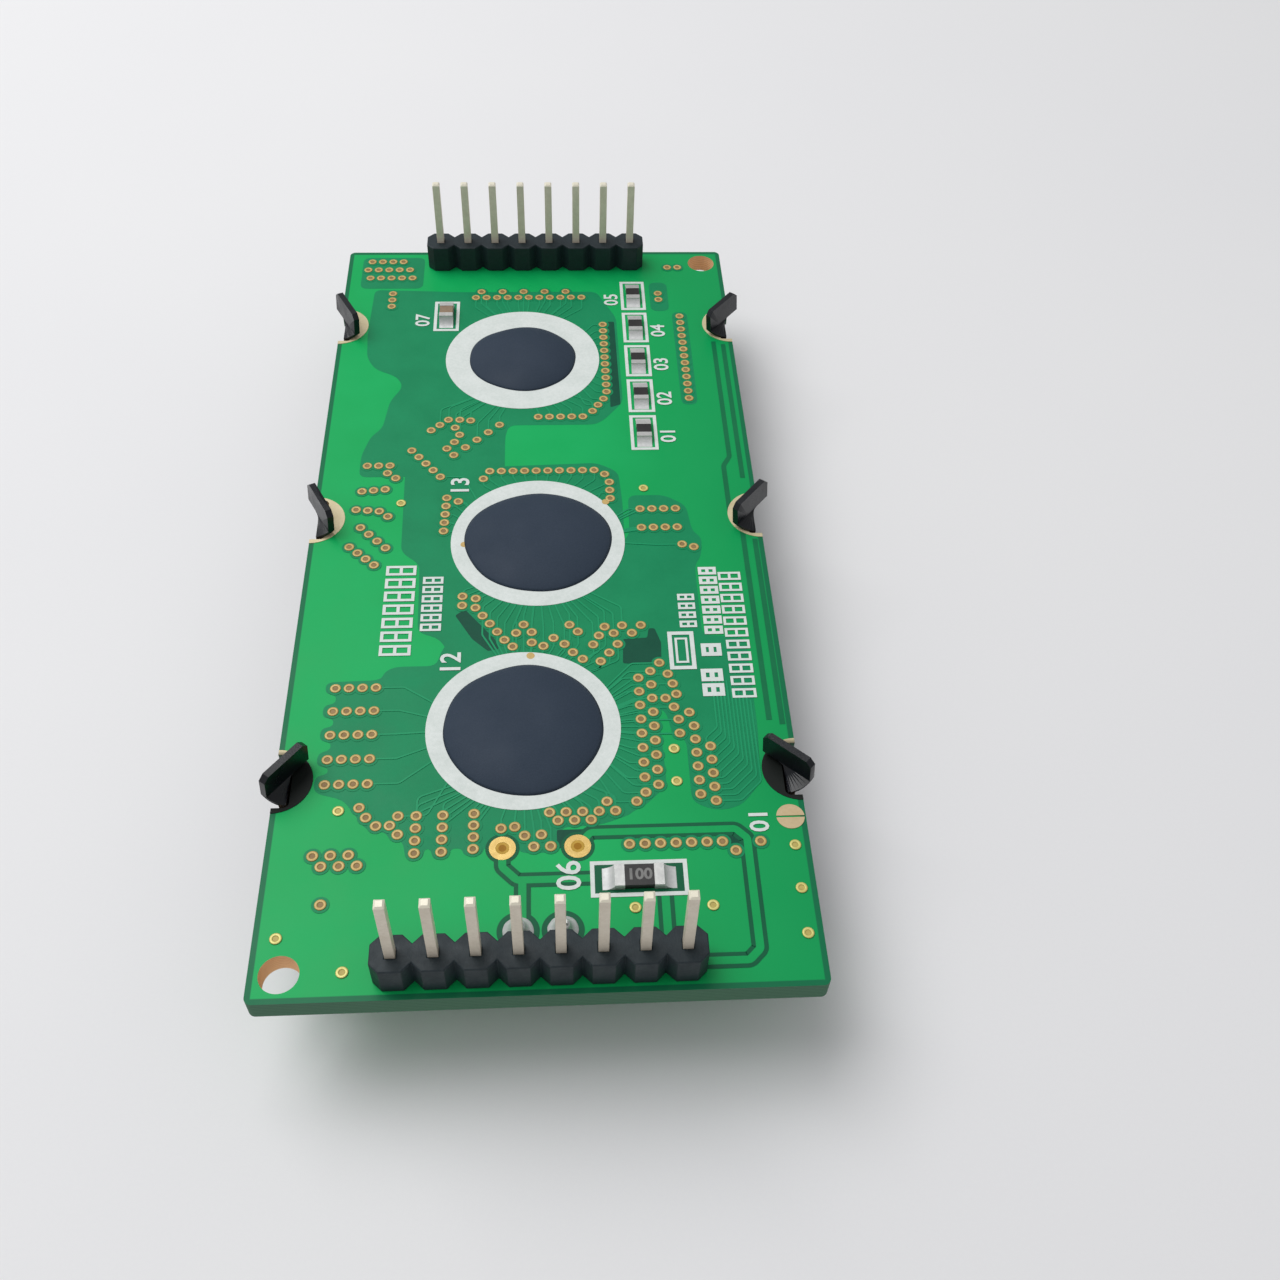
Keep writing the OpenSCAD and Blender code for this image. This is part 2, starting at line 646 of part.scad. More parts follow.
module jumper_pads() {
    color("#d3bd8c") translate([jumper_at[0], jumper_at[1], top_z]) linear_extrude(plate_t) difference() {
        circle(d = jumper_d);
        square([jumper_d + through, jumper_gap], center = true);
    }
}

module chip_rings() {
    color("#e4e7e2") for (chip = chips)
        translate([chip[0][0], chip[0][1], top_z]) linear_extrude(ink_t) difference() {
            circle(ring_r, $fn = 96);
            circle(chip[1], $fn = 96);
        }
}

// Printed outline round a chip part of the given size, its length along X
module part_outline(l, w) {
    frame_outline(l + 2 * (chip_fillet_l + outline_margin[0]), w + 2 * outline_margin[1], outline_w);
}

module part_outlines() {
    color("#dfe5df") translate([0, 0, top_z]) linear_extrude(ink_t) {
        translate(large_resistor_at) part_outline(big_chip_l, big_chip_w);
        at_resistors() small_part_outline();
        translate(capacitor_at) rotate(90) small_part_outline();
    }
}

// Outline of a small part, closer to the solder than on the large one
module small_part_outline() {
    frame_outline(small_chip_l + 2 * (chip_fillet_l + outline_w + 0.1), small_chip_w + 2 * outline_margin[1],
                  outline_w);
}

// Places a child at each small resistor, turned along the board
module at_resistors() {
    for (k = [0:resistor_count - 1])
        translate([small_resistor_at[0], small_resistor_at[1] + k * resistor_pitch]) rotate(90) children();
}

// Silicon chip that an epoxy cap covers
module die(chip) {
    translate([chip[0][0] - die_side / 2, chip[0][1] - die_side / 2, top_z])
        cube([die_side, die_side, die_t]);
}

module near_die() color("#55585e") die(chips[0]);

module middle_die() color("#55585e") die(chips[1]);

module far_die() color("#55585e") die(chips[2]);

// Epoxy cap: a low dome of a large sphere, moulded over its chip
module epoxy_cap(chip) {
    r = chip[1];
    dome_r = (r * r + cap_h * cap_h) / (2 * cap_h);
    color("#2e333c") difference() {
        translate([chip[0][0], chip[0][1], top_z]) intersection() {
            translate([0, 0, cap_h - dome_r]) sphere(dome_r, $fn = 128);
            cylinder(h = 2 * cap_h, r = 2 * r);
        }
        die(chip);
    }
}

module near_epoxy_cap() epoxy_cap(chips[0]);

module middle_epoxy_cap() epoxy_cap(chips[1]);

module far_epoxy_cap() epoxy_cap(chips[2]);

// Header body: a row of eight-sided sections that meet at narrow necks
module header_body(y) {
    half = header_d / 2;
    c = header_chamfer;
    near_side = [
        for (k = [0:pin_count - 1]) each [
            [k * pin_pitch, c - half], [k * pin_pitch + c, -half],
            [(k + 1) * pin_pitch - c, -half], [(k + 1) * pin_pitch, c - half]
        ]
    ];
    far_side = [for (k = [len(near_side) - 1:-1:0]) [near_side[k][0], -near_side[k][1]]];
    color("#262b33") difference() {
        translate([-header_l / 2, y, top_z])
            linear_extrude(header_h) polygon(concat(near_side, far_side));
        at_pins(y) translate([-pin_side / 2, -pin_side / 2, top_z - through])
            cube([pin_side, pin_side, header_h + 2 * through]);
    }
}

// Side view of a square pin with bevelled ends
module pin_outline() {
    s = pin_side / 2;
    b = pin_bevel;
    polygon([
        [-s, pin_low_z + b], [b - s, pin_low_z], [s - b, pin_low_z], [s, pin_low_z + b],
        [s, pin_top_z - b], [s - b, pin_top_z], [b - s, pin_top_z], [-s, pin_top_z - b]
    ]);
}

module header_pins(y) {
    color("#cfc4b2") at_pins(y) intersection() {
        rotate([90, 0, 0]) linear_extrude(pin_side, center = true) pin_outline();
        rotate([90, 0, 90]) linear_extrude(pin_side, center = true) pin_outline();
    }
}

// Solder of a header: the filled holes in the board and a fillet round each pin below it
module header_solder(y) {
    color("#b9bdc2") at_pins(y) difference() {
        union() {
            translate([0, 0, board_z]) cylinder(h = board_t, d = pin_hole_d);
            translate([0, 0, board_z - pin_fillet_h])
                cylinder(h = pin_fillet_h, r1 = pin_hole_d / 2, r2 = pin_fillet_r);
        }
        translate([-pin_side / 2, -pin_side / 2, pin_low_z - through])
            cube([pin_side, pin_side, pin_tail + board_t + 2 * through]);
    }
}

module near_header_body() header_body(near_header_y);

module near_header_pins() header_pins(near_header_y);

module near_header_solder() header_solder(near_header_y);

module far_header_body() header_body(far_header_y);

module far_header_pins() header_pins(far_header_y);

module far_header_solder() header_solder(far_header_y);

// Ceramic block of a chip part, its length along X, standing on its metal ends
module chip_body(l, w, h) {
    translate([chip_end_t - l / 2, chip_end_t - w / 2, chip_end_t])
        cube([l - 2 * chip_end_t, w - 2 * chip_end_t, h - 2 * chip_end_t]);
}

// Metal ends that wrap round a chip part
module chip_ends(l, w, h, end_l) {
    difference() {
        for (x = [-l / 2, l / 2 - end_l])
            translate([x, -w / 2, 0]) cube([end_l, w, h]);
        chip_body(l, w, h);
    }
}

// Hollow-faced solder fillets beyond both ends of a chip part
module chip_solder(l, w, h) {
    rise = h * chip_fillet_rise;
    run = chip_fillet_l;
    curve_r = (run * run + rise * rise) / (2 * rise);
    for (side = [0, 1]) mirror([side, 0, 0]) translate([l / 2, w / 2, 0])
        rotate([90, 0, 0]) linear_extrude(w) difference() {
            square([run, rise]);
            translate([run, curve_r]) circle(curve_r, $fn = 96);
        }
}

// Places a child on the board at the large resistor
module at_large_resistor() {
    translate([large_resistor_at[0], large_resistor_at[1], top_z]) children();
}

module large_resistor_body() {
    color("#2a2a2c") at_large_resistor() chip_body(big_chip_l, big_chip_w, chip_h);
}

module large_resistor_ends() {
    color("#c8c8c6") at_large_resistor() chip_ends(big_chip_l, big_chip_w, chip_h, big_end_l);
}

module large_resistor_solder() {
    color("#d5d6d4") at_large_resistor() chip_solder(big_chip_l, big_chip_w, chip_h);
}

module small_resistor_bodies() {
    color("#3a3b40") translate([0, 0, top_z]) at_resistors() chip_body(small_chip_l, small_chip_w, chip_h);
}

module small_resistor_ends() {
    color("#c8c8c6") translate([0, 0, top_z]) at_resistors()
        chip_ends(small_chip_l, small_chip_w, chip_h, small_end_l);
}

module small_resistor_solder() {
    color("#d5d6d4") translate([0, 0, top_z]) at_resistors() chip_solder(small_chip_l, small_chip_w, chip_h);
}

// Places a child on the board at the capacitor, turned along the board
module at_capacitor() {
    translate([capacitor_at[0], capacitor_at[1], top_z]) rotate(90) children();
}

module capacitor_body() {
    color("#8d8478") at_capacitor() chip_body(small_chip_l, small_chip_w, capacitor_h);
}

module capacitor_ends() {
    color("#c8c8c6") at_capacitor() chip_ends(small_chip_l, small_chip_w, capacitor_h, small_end_l);
}

module capacitor_solder() {
    color("#d5d6d4") at_capacitor() chip_solder(small_chip_l, small_chip_w, capacitor_h);
}

bezel();
front_polariser();
front_glass();
cell_seal();
rear_glass();
rear_polariser();
left_contact_strip();
right_contact_strip();
backlight_tray();
diffuser_film();
light_guide();
reflector_film();
lamp_strip();
lamps();
backlight_leads();
lead_joints();
board();
vias();
eyelets();
tab_pads();
jumper_pads();
chip_rings();
part_outlines();
near_die();
middle_die();
far_die();
near_epoxy_cap();
middle_epoxy_cap();
far_epoxy_cap();
near_header_body();
near_header_pins();
near_header_solder();
far_header_body();
far_header_pins();
far_header_solder();
large_resistor_body();
large_resistor_ends();
large_resistor_solder();
small_resistor_bodies();
small_resistor_ends();
small_resistor_solder();
capacitor_body();
capacitor_ends();
capacitor_solder();
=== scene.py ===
import bpy
import bmesh
from math import cos, sin, pi, radians
from mathutils import Vector, Matrix, noise


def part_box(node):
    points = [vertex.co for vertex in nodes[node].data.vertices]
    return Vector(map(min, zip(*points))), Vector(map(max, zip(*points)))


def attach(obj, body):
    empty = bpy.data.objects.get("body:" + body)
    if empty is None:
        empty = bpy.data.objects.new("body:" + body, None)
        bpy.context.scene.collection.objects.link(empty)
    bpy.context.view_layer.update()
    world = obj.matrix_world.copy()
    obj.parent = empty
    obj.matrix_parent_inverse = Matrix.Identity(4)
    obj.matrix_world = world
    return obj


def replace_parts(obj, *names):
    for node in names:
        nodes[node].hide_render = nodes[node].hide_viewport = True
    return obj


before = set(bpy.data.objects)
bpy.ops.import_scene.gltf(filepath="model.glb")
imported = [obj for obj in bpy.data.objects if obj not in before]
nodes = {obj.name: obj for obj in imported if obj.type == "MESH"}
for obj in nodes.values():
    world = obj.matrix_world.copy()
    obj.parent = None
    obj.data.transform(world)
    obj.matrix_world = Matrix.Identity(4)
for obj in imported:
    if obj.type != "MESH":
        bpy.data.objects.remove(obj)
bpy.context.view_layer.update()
mm = 0.001
boardLow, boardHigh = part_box("board")
nearEdge = boardLow[1]      # tables of places count along the board from here
boardTop = boardHigh[2]
print("frame loaded:", len(nodes), "nodes")


# A place on the component side: mm from the middle line, from the near edge and above the board
def spot(x, y, lift=0.0):
    return Vector((x * mm, nearEdge + y * mm, boardTop + lift * mm))


# Screen colour to the linear numbers that shaders take
def tint(r, g, b):
    linear = []
    for c in (r / 255, g / 255, b / 255):
        linear.append(c / 12.92 if c < 0.04045 else ((c + 0.055) / 1.055) ** 2.4)
    return (*linear, 1.0)


# Sets an input of a node, or links it where the value is an output of another node
def feed(tree, socket, value):
    if isinstance(value, bpy.types.NodeSocket):
        tree.links.new(value, socket)
    else:
        socket.default_value = value


def addNode(tree, kind, **values):
    node = tree.nodes.new(kind)
    for key, value in values.items():
        if key in node.inputs:
            feed(tree, node.inputs[key], value)
        else:
            setattr(node, key, value)
    return node


# Short ways to the nodes that are used most; each returns its result's socket
def mathOf(tree, operation, *values, clamp=False):
    node = addNode(tree, "ShaderNodeMath", operation=operation, use_clamp=clamp)
    for socket, value in zip(node.inputs, values):
        feed(tree, socket, value)
    return node.outputs[0]


def rampOf(tree, value, low, high):
    return addNode(tree, "ShaderNodeMapRange", Value=value, **{"From Min": low, "From Max": high}).outputs[0]


def mixColours(tree, share, a, b):
    node = addNode(tree, "ShaderNodeMix", data_type="RGBA")
    for index, value in ((0, share), (6, a), (7, b)):
        feed(tree, node.inputs[index], value)
    return node.outputs[2]


def mixValues(tree, share, a, b):
    node = addNode(tree, "ShaderNodeMix", data_type="FLOAT")
    for index, value in ((0, share), (2, a), (3, b)):
        feed(tree, node.inputs[index], value)
    return node.outputs[0]


# A group or a modifier's tree with named inputs: the tree, the sockets it takes from and the ones it fills
def newTree(kind, name, inputs, outputs):
    tree = bpy.data.node_groups.new(name, kind + "NodeTree")
    for label, sort, value in inputs:
        socket = tree.interface.new_socket(label, in_out="INPUT", socket_type="NodeSocket" + sort)
        if value is not None:
            socket.default_value = value
    for label, sort in outputs:
        tree.interface.new_socket(label, in_out="OUTPUT", socket_type="NodeSocket" + sort)
    return tree, tree.nodes.new("NodeGroupInput").outputs, tree.nodes.new("NodeGroupOutput").inputs


# Shader groups that several materials share

def buildMottle():      # cloudy change between two colours, with finer specks in it
    tree, given, result = newTree("Shader", "mottle", [
        ("Vector", "Vector", None), ("Patch scale", "Float", 300), ("Speck scale", "Float", 4000),
        ("Specks", "Float", 0.3), ("Colour A", "Color", (1, 1, 1, 1)), ("Colour B", "Color", (0, 0, 0, 1))],
        [("Colour", "Color")])
    patches = addNode(tree, "ShaderNodeTexNoise", Vector=given["Vector"], Scale=given["Patch scale"],
                      Detail=3.0, Roughness=0.55)
    specks = addNode(tree, "ShaderNodeTexNoise", Vector=given["Vector"], Scale=given["Speck scale"],
                     Detail=2.0, Roughness=0.6)
    blend = mixValues(tree, given["Specks"], patches.outputs["Fac"], specks.outputs["Fac"])
    spread = rampOf(tree, blend, 0.35, 0.65)
    feed(tree, result["Colour"], mixColours(tree, spread, given["Colour A"], given["Colour B"]))
    return tree


def buildGloss():       # roughness that wanders between two values, with a few dull spots
    tree, given, result = newTree("Shader", "gloss", [
        ("Vector", "Vector", None), ("Scale", "Float", 500), ("Low", "Float", 0.3), ("High", "Float", 0.5),
        ("Dull spots", "Float", 0.1)], [("Roughness", "Float")])
    wander = addNode(tree, "ShaderNodeTexNoise", Vector=given["Vector"], Scale=given["Scale"], Detail=4.0)
    reach = addNode(tree, "ShaderNodeMapRange", Value=wander.outputs["Fac"],
                    **{"From Min": 0.3, "From Max": 0.7, "To Min": given["Low"], "To Max": given["High"]})
    cells = addNode(tree, "ShaderNodeTexVoronoi", feature="F1", Vector=given["Vector"], Scale=given["Scale"])
    middles = rampOf(tree, cells.outputs["Distance"], 0.12, 0.0)
    dull = mathOf(tree, "MULTIPLY", middles, given["Dull spots"])
    feed(tree, result["Roughness"], mathOf(tree, "ADD", reach.outputs[0], dull, clamp=True))
    return tree


def buildGrain():       # height of a moulded, cast or painted skin: fine noise over long waves
    tree, given, result = newTree("Shader", "grain", [
        ("Vector", "Vector", None), ("Fine scale", "Float", 6000), ("Wave scale", "Float", 400),
        ("Waves", "Float", 0.5)], [("Height", "Float")])
    fine = addNode(tree, "ShaderNodeTexNoise", Vector=given["Vector"], Scale=given["Fine scale"],
                   Detail=2.0, Roughness=0.7)
    wave = addNode(tree, "ShaderNodeTexNoise", Vector=given["Vector"], Scale=given["Wave scale"], Detail=1.0)
    feed(tree, result["Height"], mixValues(tree, given["Waves"], fine.outputs["Fac"], wave.outputs["Fac"]))
    return tree


def buildFacing(least=0.6):      # 1 where the surface faces up or down in its own space
    tree, given, result = newTree("Shader", "facing", [("Normal", "Vector", None)], [("Flat", "Float")])
    split = addNode(tree, "ShaderNodeSeparateXYZ", Vector=given["Normal"])
    upright = mathOf(tree, "ABSOLUTE", split.outputs["Z"])
    feed(tree, result["Flat"], mathOf(tree, "GREATER_THAN", upright, least))
    return tree


mottle = buildMottle()
gloss = buildGloss()
grain = buildGrain()
facing = buildFacing()


def useGroup(tree, group, vector, **values):
    node = tree.nodes.new("ShaderNodeGroup")
    node.node_tree = group
    for key, value in values.items():
        node.inputs[key.replace("_", " ")].default_value = value
    tree.links.new(vector, node.inputs[0])
    return node.outputs[0]


# Materials

# a, b: screen colours; patch, speck, fine: scales of clouds, specks and grain; specks, waves: their shares;
# low, high: roughness; bump: strength of the grain; metallic, clear: shares; shine: specular level
finishes = {
    "boardTrack": dict(a=(4, 160, 84), b=(8, 166, 90), patch=260, low=0.36, high=0.46, bump=0.03, shine=0.2),
    "boardBare": dict(a=(8, 134, 86), b=(14, 142, 92), patch=240, low=0.38, high=0.5, bump=0.04, shine=0.2),
    "boardFine": dict(a=(20, 148, 98), b=(26, 154, 102), patch=260, low=0.36, high=0.46, bump=0.03,
        shine=0.2),
    "boardGap": dict(a=(4, 92, 60), b=(8, 98, 64), patch=260, low=0.38, high=0.5, bump=0.03, shine=0.2),
    "boardEdge": dict(a=(6, 110, 68), b=(10, 116, 72), patch=260, low=0.38, high=0.5, bump=0.03, shine=0.2),
    "boardDark": dict(a=(4, 76, 56), b=(8, 84, 62), patch=300, low=0.38, high=0.5, bump=0.04, shine=0.2),
    "whiteInk": dict(a=(226, 232, 229), b=(212, 220, 216), patch=700, specks=0.5, low=0.5, high=0.65,
        bump=0.1),
    "epoxy": dict(a=(54, 65, 80), b=(49, 60, 74), patch=180, speck=9000, specks=0.6, low=0.55, high=0.68,
        bump=0.14, fine=8000, waves=0.15, shine=0.15),
    "headerPlastic": dict(a=(31, 44, 50), b=(24, 36, 42), patch=500, specks=0.5, low=0.42, high=0.58,
        bump=0.2, fine=9000, waves=0.25, shine=0.35),
    "bezelPaint": dict(a=(19, 23, 30), b=(13, 16, 21), patch=350, specks=0.4, low=0.24, high=0.4,
        bump=0.12, fine=8000, waves=0.4, shine=0.4),
    "solder": dict(a=(212, 213, 212), b=(194, 196, 196), patch=1200, specks=0.5, low=0.34, high=0.5,
        bump=0.14, metallic=0.18, fine=5000, waves=0.6),
    "tinPlate": dict(a=(208, 209, 206), b=(188, 189, 188), patch=900, specks=0.4, low=0.34, high=0.48,
        bump=0.06, metallic=0.6),
    "goldPlate": dict(a=(220, 188, 112), b=(204, 170, 96), patch=900, specks=0.4, low=0.28, high=0.42,
        bump=0.06, metallic=0.4),
    "boreRim": dict(a=(202, 162, 66), b=(186, 146, 52), patch=1400, low=0.3, high=0.42, bump=0.05, shine=0.2),
    "boreAmber": dict(a=(170, 120, 8), b=(154, 106, 4), patch=1400, low=0.25, high=0.4, bump=0.05, shine=0.2),
    "jumperPlate": dict(a=(214, 192, 152), b=(202, 178, 138), patch=700, specks=0.4, low=0.35, high=0.5,
        bump=0.06, metallic=0.2),
    "viaRing": dict(a=(210, 180, 114), b=(194, 162, 96), patch=900, specks=0.4, low=0.35, high=0.5,
        bump=0.05, metallic=0.1),
    "viaRingBare": dict(a=(226, 216, 136), b=(212, 200, 116), patch=900, specks=0.4, low=0.35, high=0.5,
        bump=0.05, metallic=0.2),
    "viaHoleBare": dict(a=(196, 178, 98), b=(178, 160, 84), patch=1500, low=0.5, high=0.6, bump=0.05),
    "viaHole": dict(a=(156, 124, 76), b=(134, 106, 62), patch=1500, low=0.5, high=0.6, bump=0.05),
    "resistorGlaze": dict(a=(40, 38, 39), b=(30, 29, 30), patch=900, low=0.3, high=0.42, bump=0.06),
    "capacitorCeramic": dict(a=(150, 128, 104), b=(132, 110, 88), patch=900, specks=0.5, low=0.5, high=0.62,
        bump=0.1),
    "greyInk": dict(a=(132, 132, 130), b=(116, 116, 115), patch=900, specks=0.4, low=0.5, high=0.6,
        bump=0.04),
    "silicon": dict(a=(86, 88, 96), b=(70, 72, 80), patch=900, low=0.2, high=0.3, bump=0.02),
    "trayPlastic": dict(a=(238, 236, 228), b=(228, 225, 214), patch=200, low=0.45, high=0.6, bump=0.08),
    "film": dict(a=(236, 239, 240), b=(228, 231, 233), patch=150, low=0.35, high=0.5, bump=0.03),
    "sealResin": dict(a=(214, 208, 190), b=(198, 190, 168), patch=500, low=0.4, high=0.6, bump=0.06),
    "lampBody": dict(a=(240, 226, 128), b=(232, 212, 104), patch=900, low=0.3, high=0.4, bump=0.04),
    "lampBoard": dict(a=(196, 174, 108), b=(178, 154, 90), patch=600, low=0.5, high=0.6, bump=0.06),
    "displayDot": dict(a=(44, 62, 148), b=(40, 56, 138), patch=300, low=0.12, high=0.2, bump=0.01),
    "plateGlass": dict(a=(226, 240, 240), b=(218, 234, 236), patch=120, low=0.03, high=0.09, bump=0.01,
        clear=0.9),
    "clearGuide": dict(a=(236, 242, 244), b=(230, 238, 240), patch=120, low=0.08, high=0.14, bump=0.01,
        clear=0.7),
    "bluePolariser": dict(a=(22, 34, 104), b=(18, 28, 92), patch=120, low=0.12, high=0.18, bump=0.01),
}


def newMaterial(name):
    material = bpy.data.materials.new(name)
    material.use_nodes = True
    tree = material.node_tree
    tree.nodes.clear()
    output = tree.nodes.new("ShaderNodeOutputMaterial")
    shader = tree.nodes.new("ShaderNodeBsdfPrincipled")
    tree.links.new(shader.outputs[0], output.inputs[0])
    place = tree.nodes.new("ShaderNodeTexCoord")
    return material, tree, shader, place


# Gives a shader its mottled colour, wandering gloss and fine grain
def addSkin(tree, shader, place, look):
    vector = place.outputs["Object"]
    patch = look["patch"]
    clouds = useGroup(tree, mottle, vector, Patch_scale=patch, Speck_scale=look.get("speck", 4000),
                      Specks=look.get("specks", 0.25), Colour_A=tint(*look["a"]), Colour_B=tint(*look["b"]))
    shine = useGroup(tree, gloss, vector, Scale=patch * 2, Low=look["low"], High=look["high"])
    skin = useGroup(tree, grain, vector, Fine_scale=look.get("fine", 6000), Wave_scale=patch,
                    Waves=look.get("waves", 0.5))
    bump = addNode(tree, "ShaderNodeBump", Strength=look["bump"], Distance=0.1 * mm, Height=skin)
    skinInputs = {"Base Color": clouds, "Roughness": shine, "Normal": bump.outputs[0],
                  "Metallic": look.get("metallic", 0.0), "Specular IOR Level": look.get("shine", 0.5),
                  "Transmission Weight": look.get("clear", 0.0)}
    for label, value in skinInputs.items():
        feed(tree, shader.inputs[label], value)
    return clouds, shine


materials = {}
for name, look in finishes.items():
    material, tree, shader, place = newMaterial(name)
    addSkin(tree, shader, place, look)
    materials[name] = material


# Solder mask on the faces of the board, cut laminate on its edges and in its holes; on the outer edges the
# laminate is painted in shade, darker and greener
boardLook = dict(a=(4, 171, 89), b=(8, 177, 95), patch=130, specks=0.1, low=0.36, high=0.46, bump=0.03,
                 shine=0.2, margin=(10, 112, 72), marginWidth=0.35, marginBlur=0.06,     # widths in mm
                 # the last colour here and the first on the next line: the laminate painted in shade, for the
                 # board's outer edges
                 laminate=(246, 208, 164), layers=(226, 184, 138), wall=(84, 124, 100),
                 wallLayers=(70, 106, 84), layerScale=1500, layerWobble=1.5, cutRoughness=0.8,
                 # painted shade: a darker mask colour towards the right, and where it starts
                 rightShade=(3, 155, 84), rightShadeFrom=3.0)     # mm to the right of the middle line


def buildBoardMaterial(look):
    material, tree, shader, place = newMaterial("boardMask")
    clouds, shine = addSkin(tree, shader, place, look)
    flat = useGroup(tree, facing, place.outputs["Normal"])
    where = addNode(tree, "ShaderNodeSeparateXYZ", Vector=place.outputs["Object"]).outputs
    # the copper under the mask stops short of the board's outline
    rims = []
    for axis, reach in (("X", boardHigh[0]), ("Y", boardHigh[1])):
        edge = reach - look["marginWidth"] * mm
        rims.append(rampOf(tree, mathOf(tree, "ABSOLUTE", where[axis]), edge - look["marginBlur"] * mm, edge))
    margin = mathOf(tree, "MAXIMUM", *rims)
    # painted shade: the mask is darker to the right, where the light falls off
    rightShadeShare = rampOf(tree, where["X"], look["rightShadeFrom"] * mm, boardHigh[0])
    mask = mixColours(tree, rightShadeShare, clouds, tint(*look["rightShade"]))
    face = mixColours(tree, margin, mask, tint(*look["margin"]))
    # glass cloth layers show on the cut edge as fine lines
    lines = addNode(tree, "ShaderNodeTexWave", wave_type="BANDS", bands_direction="Z",
                    Vector=place.outputs["Object"], Scale=look["layerScale"], Distortion=look["layerWobble"],
                    **{"Detail Scale": 3.0})
    cuts = [mixColours(tree, lines.outputs["Fac"], tint(*look[base]), tint(*look[layer]))
            for base, layer in (("laminate", "layers"), ("wall", "wallLayers"))]
    # near the outline the cut faces take the laminate painted in shade; the hole walls keep its own tan
    wall = mixColours(tree, margin, *cuts)
    feed(tree, shader.inputs["Base Color"], mixColours(tree, flat, wall, face))
    feed(tree, shader.inputs["Roughness"], mixValues(tree, flat, look["cutRoughness"], shine))
    return material


materials["boardMask"] = buildBoardMaterial(boardLook)


# Pale plated pin, with a painted highlight on the faces that point up or down, its cut ends
pinLook = dict(a=(234, 224, 206), b=(219, 208, 189), patch=700, specks=0.4, low=0.3, high=0.44, bump=0.08,
               metallic=0.12, endHighlight=(238, 232, 212))


def buildPinMaterial(look):
    material, tree, shader, place = newMaterial("pinPlate")
    clouds = addSkin(tree, shader, place, look)[0]
    flat = useGroup(tree, facing, place.outputs["Normal"])
    # painted highlight: lighter colour where the face points up or down
    feed(tree, shader.inputs["Base Color"], mixColours(tree, flat, clouds, tint(*look["endHighlight"])))
    return material


materials["pinPlate"] = buildPinMaterial(pinLook)


# Pads under the tabs, with painted shade and a painted reflection of the black tabs towards the near end,
# darker and duller there; the last two numbers: mm from the near edge where the painted shade begins and where
# it is full
padLook = dict(a=(228, 215, 177), b=(214, 198, 158), patch=700, specks=0.4, low=0.3, high=0.42, bump=0.06,
               metallic=0.2, shine=0.3, paintedShade=(22, 27, 25), paintedShadeRoughness=0.6, shadeStarts=18.6, dark=18.0)


def buildPadMaterial(look):
    material, tree, shader, place = newMaterial("padPlate")
    clouds, shine = addSkin(tree, shader, place, look)
    where = addNode(tree, "ShaderNodeSeparateXYZ", Vector=place.outputs["Object"])
    # share of the painted shade and painted reflection, full at the near end
    film = rampOf(tree, where.outputs["Y"], nearEdge + look["shadeStarts"] * mm, nearEdge + look["dark"] * mm)
    feed(tree, shader.inputs["Base Color"], mixColours(tree, film, clouds, tint(*look["paintedShade"])))
    feed(tree, shader.inputs["Roughness"], mixValues(tree, film, shine, look["paintedShadeRoughness"]))
    return material


materials["padPlate"] = buildPadMaterial(padLook)


# Rubber contact strip: fine dark layers between pale ones
stripLook = dict(a=(214, 160, 150), b=(198, 144, 134), patch=400, low=0.6, high=0.75, bump=0.1,
                 dark=(48, 44, 44), layerScale=3000)


def buildStripMaterial(look):
    material, tree, shader, place = newMaterial("stripRubber")
    clouds = addSkin(tree, shader, place, look)[0]
    layers = addNode(tree, "ShaderNodeTexWave", wave_type="BANDS", bands_direction="Y",
                     Vector=place.outputs["Object"], Scale=look["layerScale"])
    colour = mixColours(tree, layers.outputs["Fac"], clouds, tint(*look["dark"]))
    feed(tree, shader.inputs["Base Color"], colour)
    return material


materials["stripRubber"] = buildStripMaterial(stripLook)
print("materials:", len(materials))


# Gives a CAD node its material, and rounds its sharp edges a little where a radius is given
def dress(nodeName, materialName, edge, angle):
    node = nodes[nodeName]
    if not node.material_slots:
        node.data.materials.append(None)
    for materialSlot in node.material_slots:
        materialSlot.material = materials[materialName]
    if edge:
        weld = node.modifiers.new("joinFacets", "WELD")
        weld.merge_threshold = 0.001 * mm
        bevel = node.modifiers.new("softEdge", "BEVEL")
        bevel.width = edge * mm
        bevel.segments = 2
        bevel.limit_method = "ANGLE"
        bevel.angle_limit = radians(angle)
        bevel.harden_normals = False


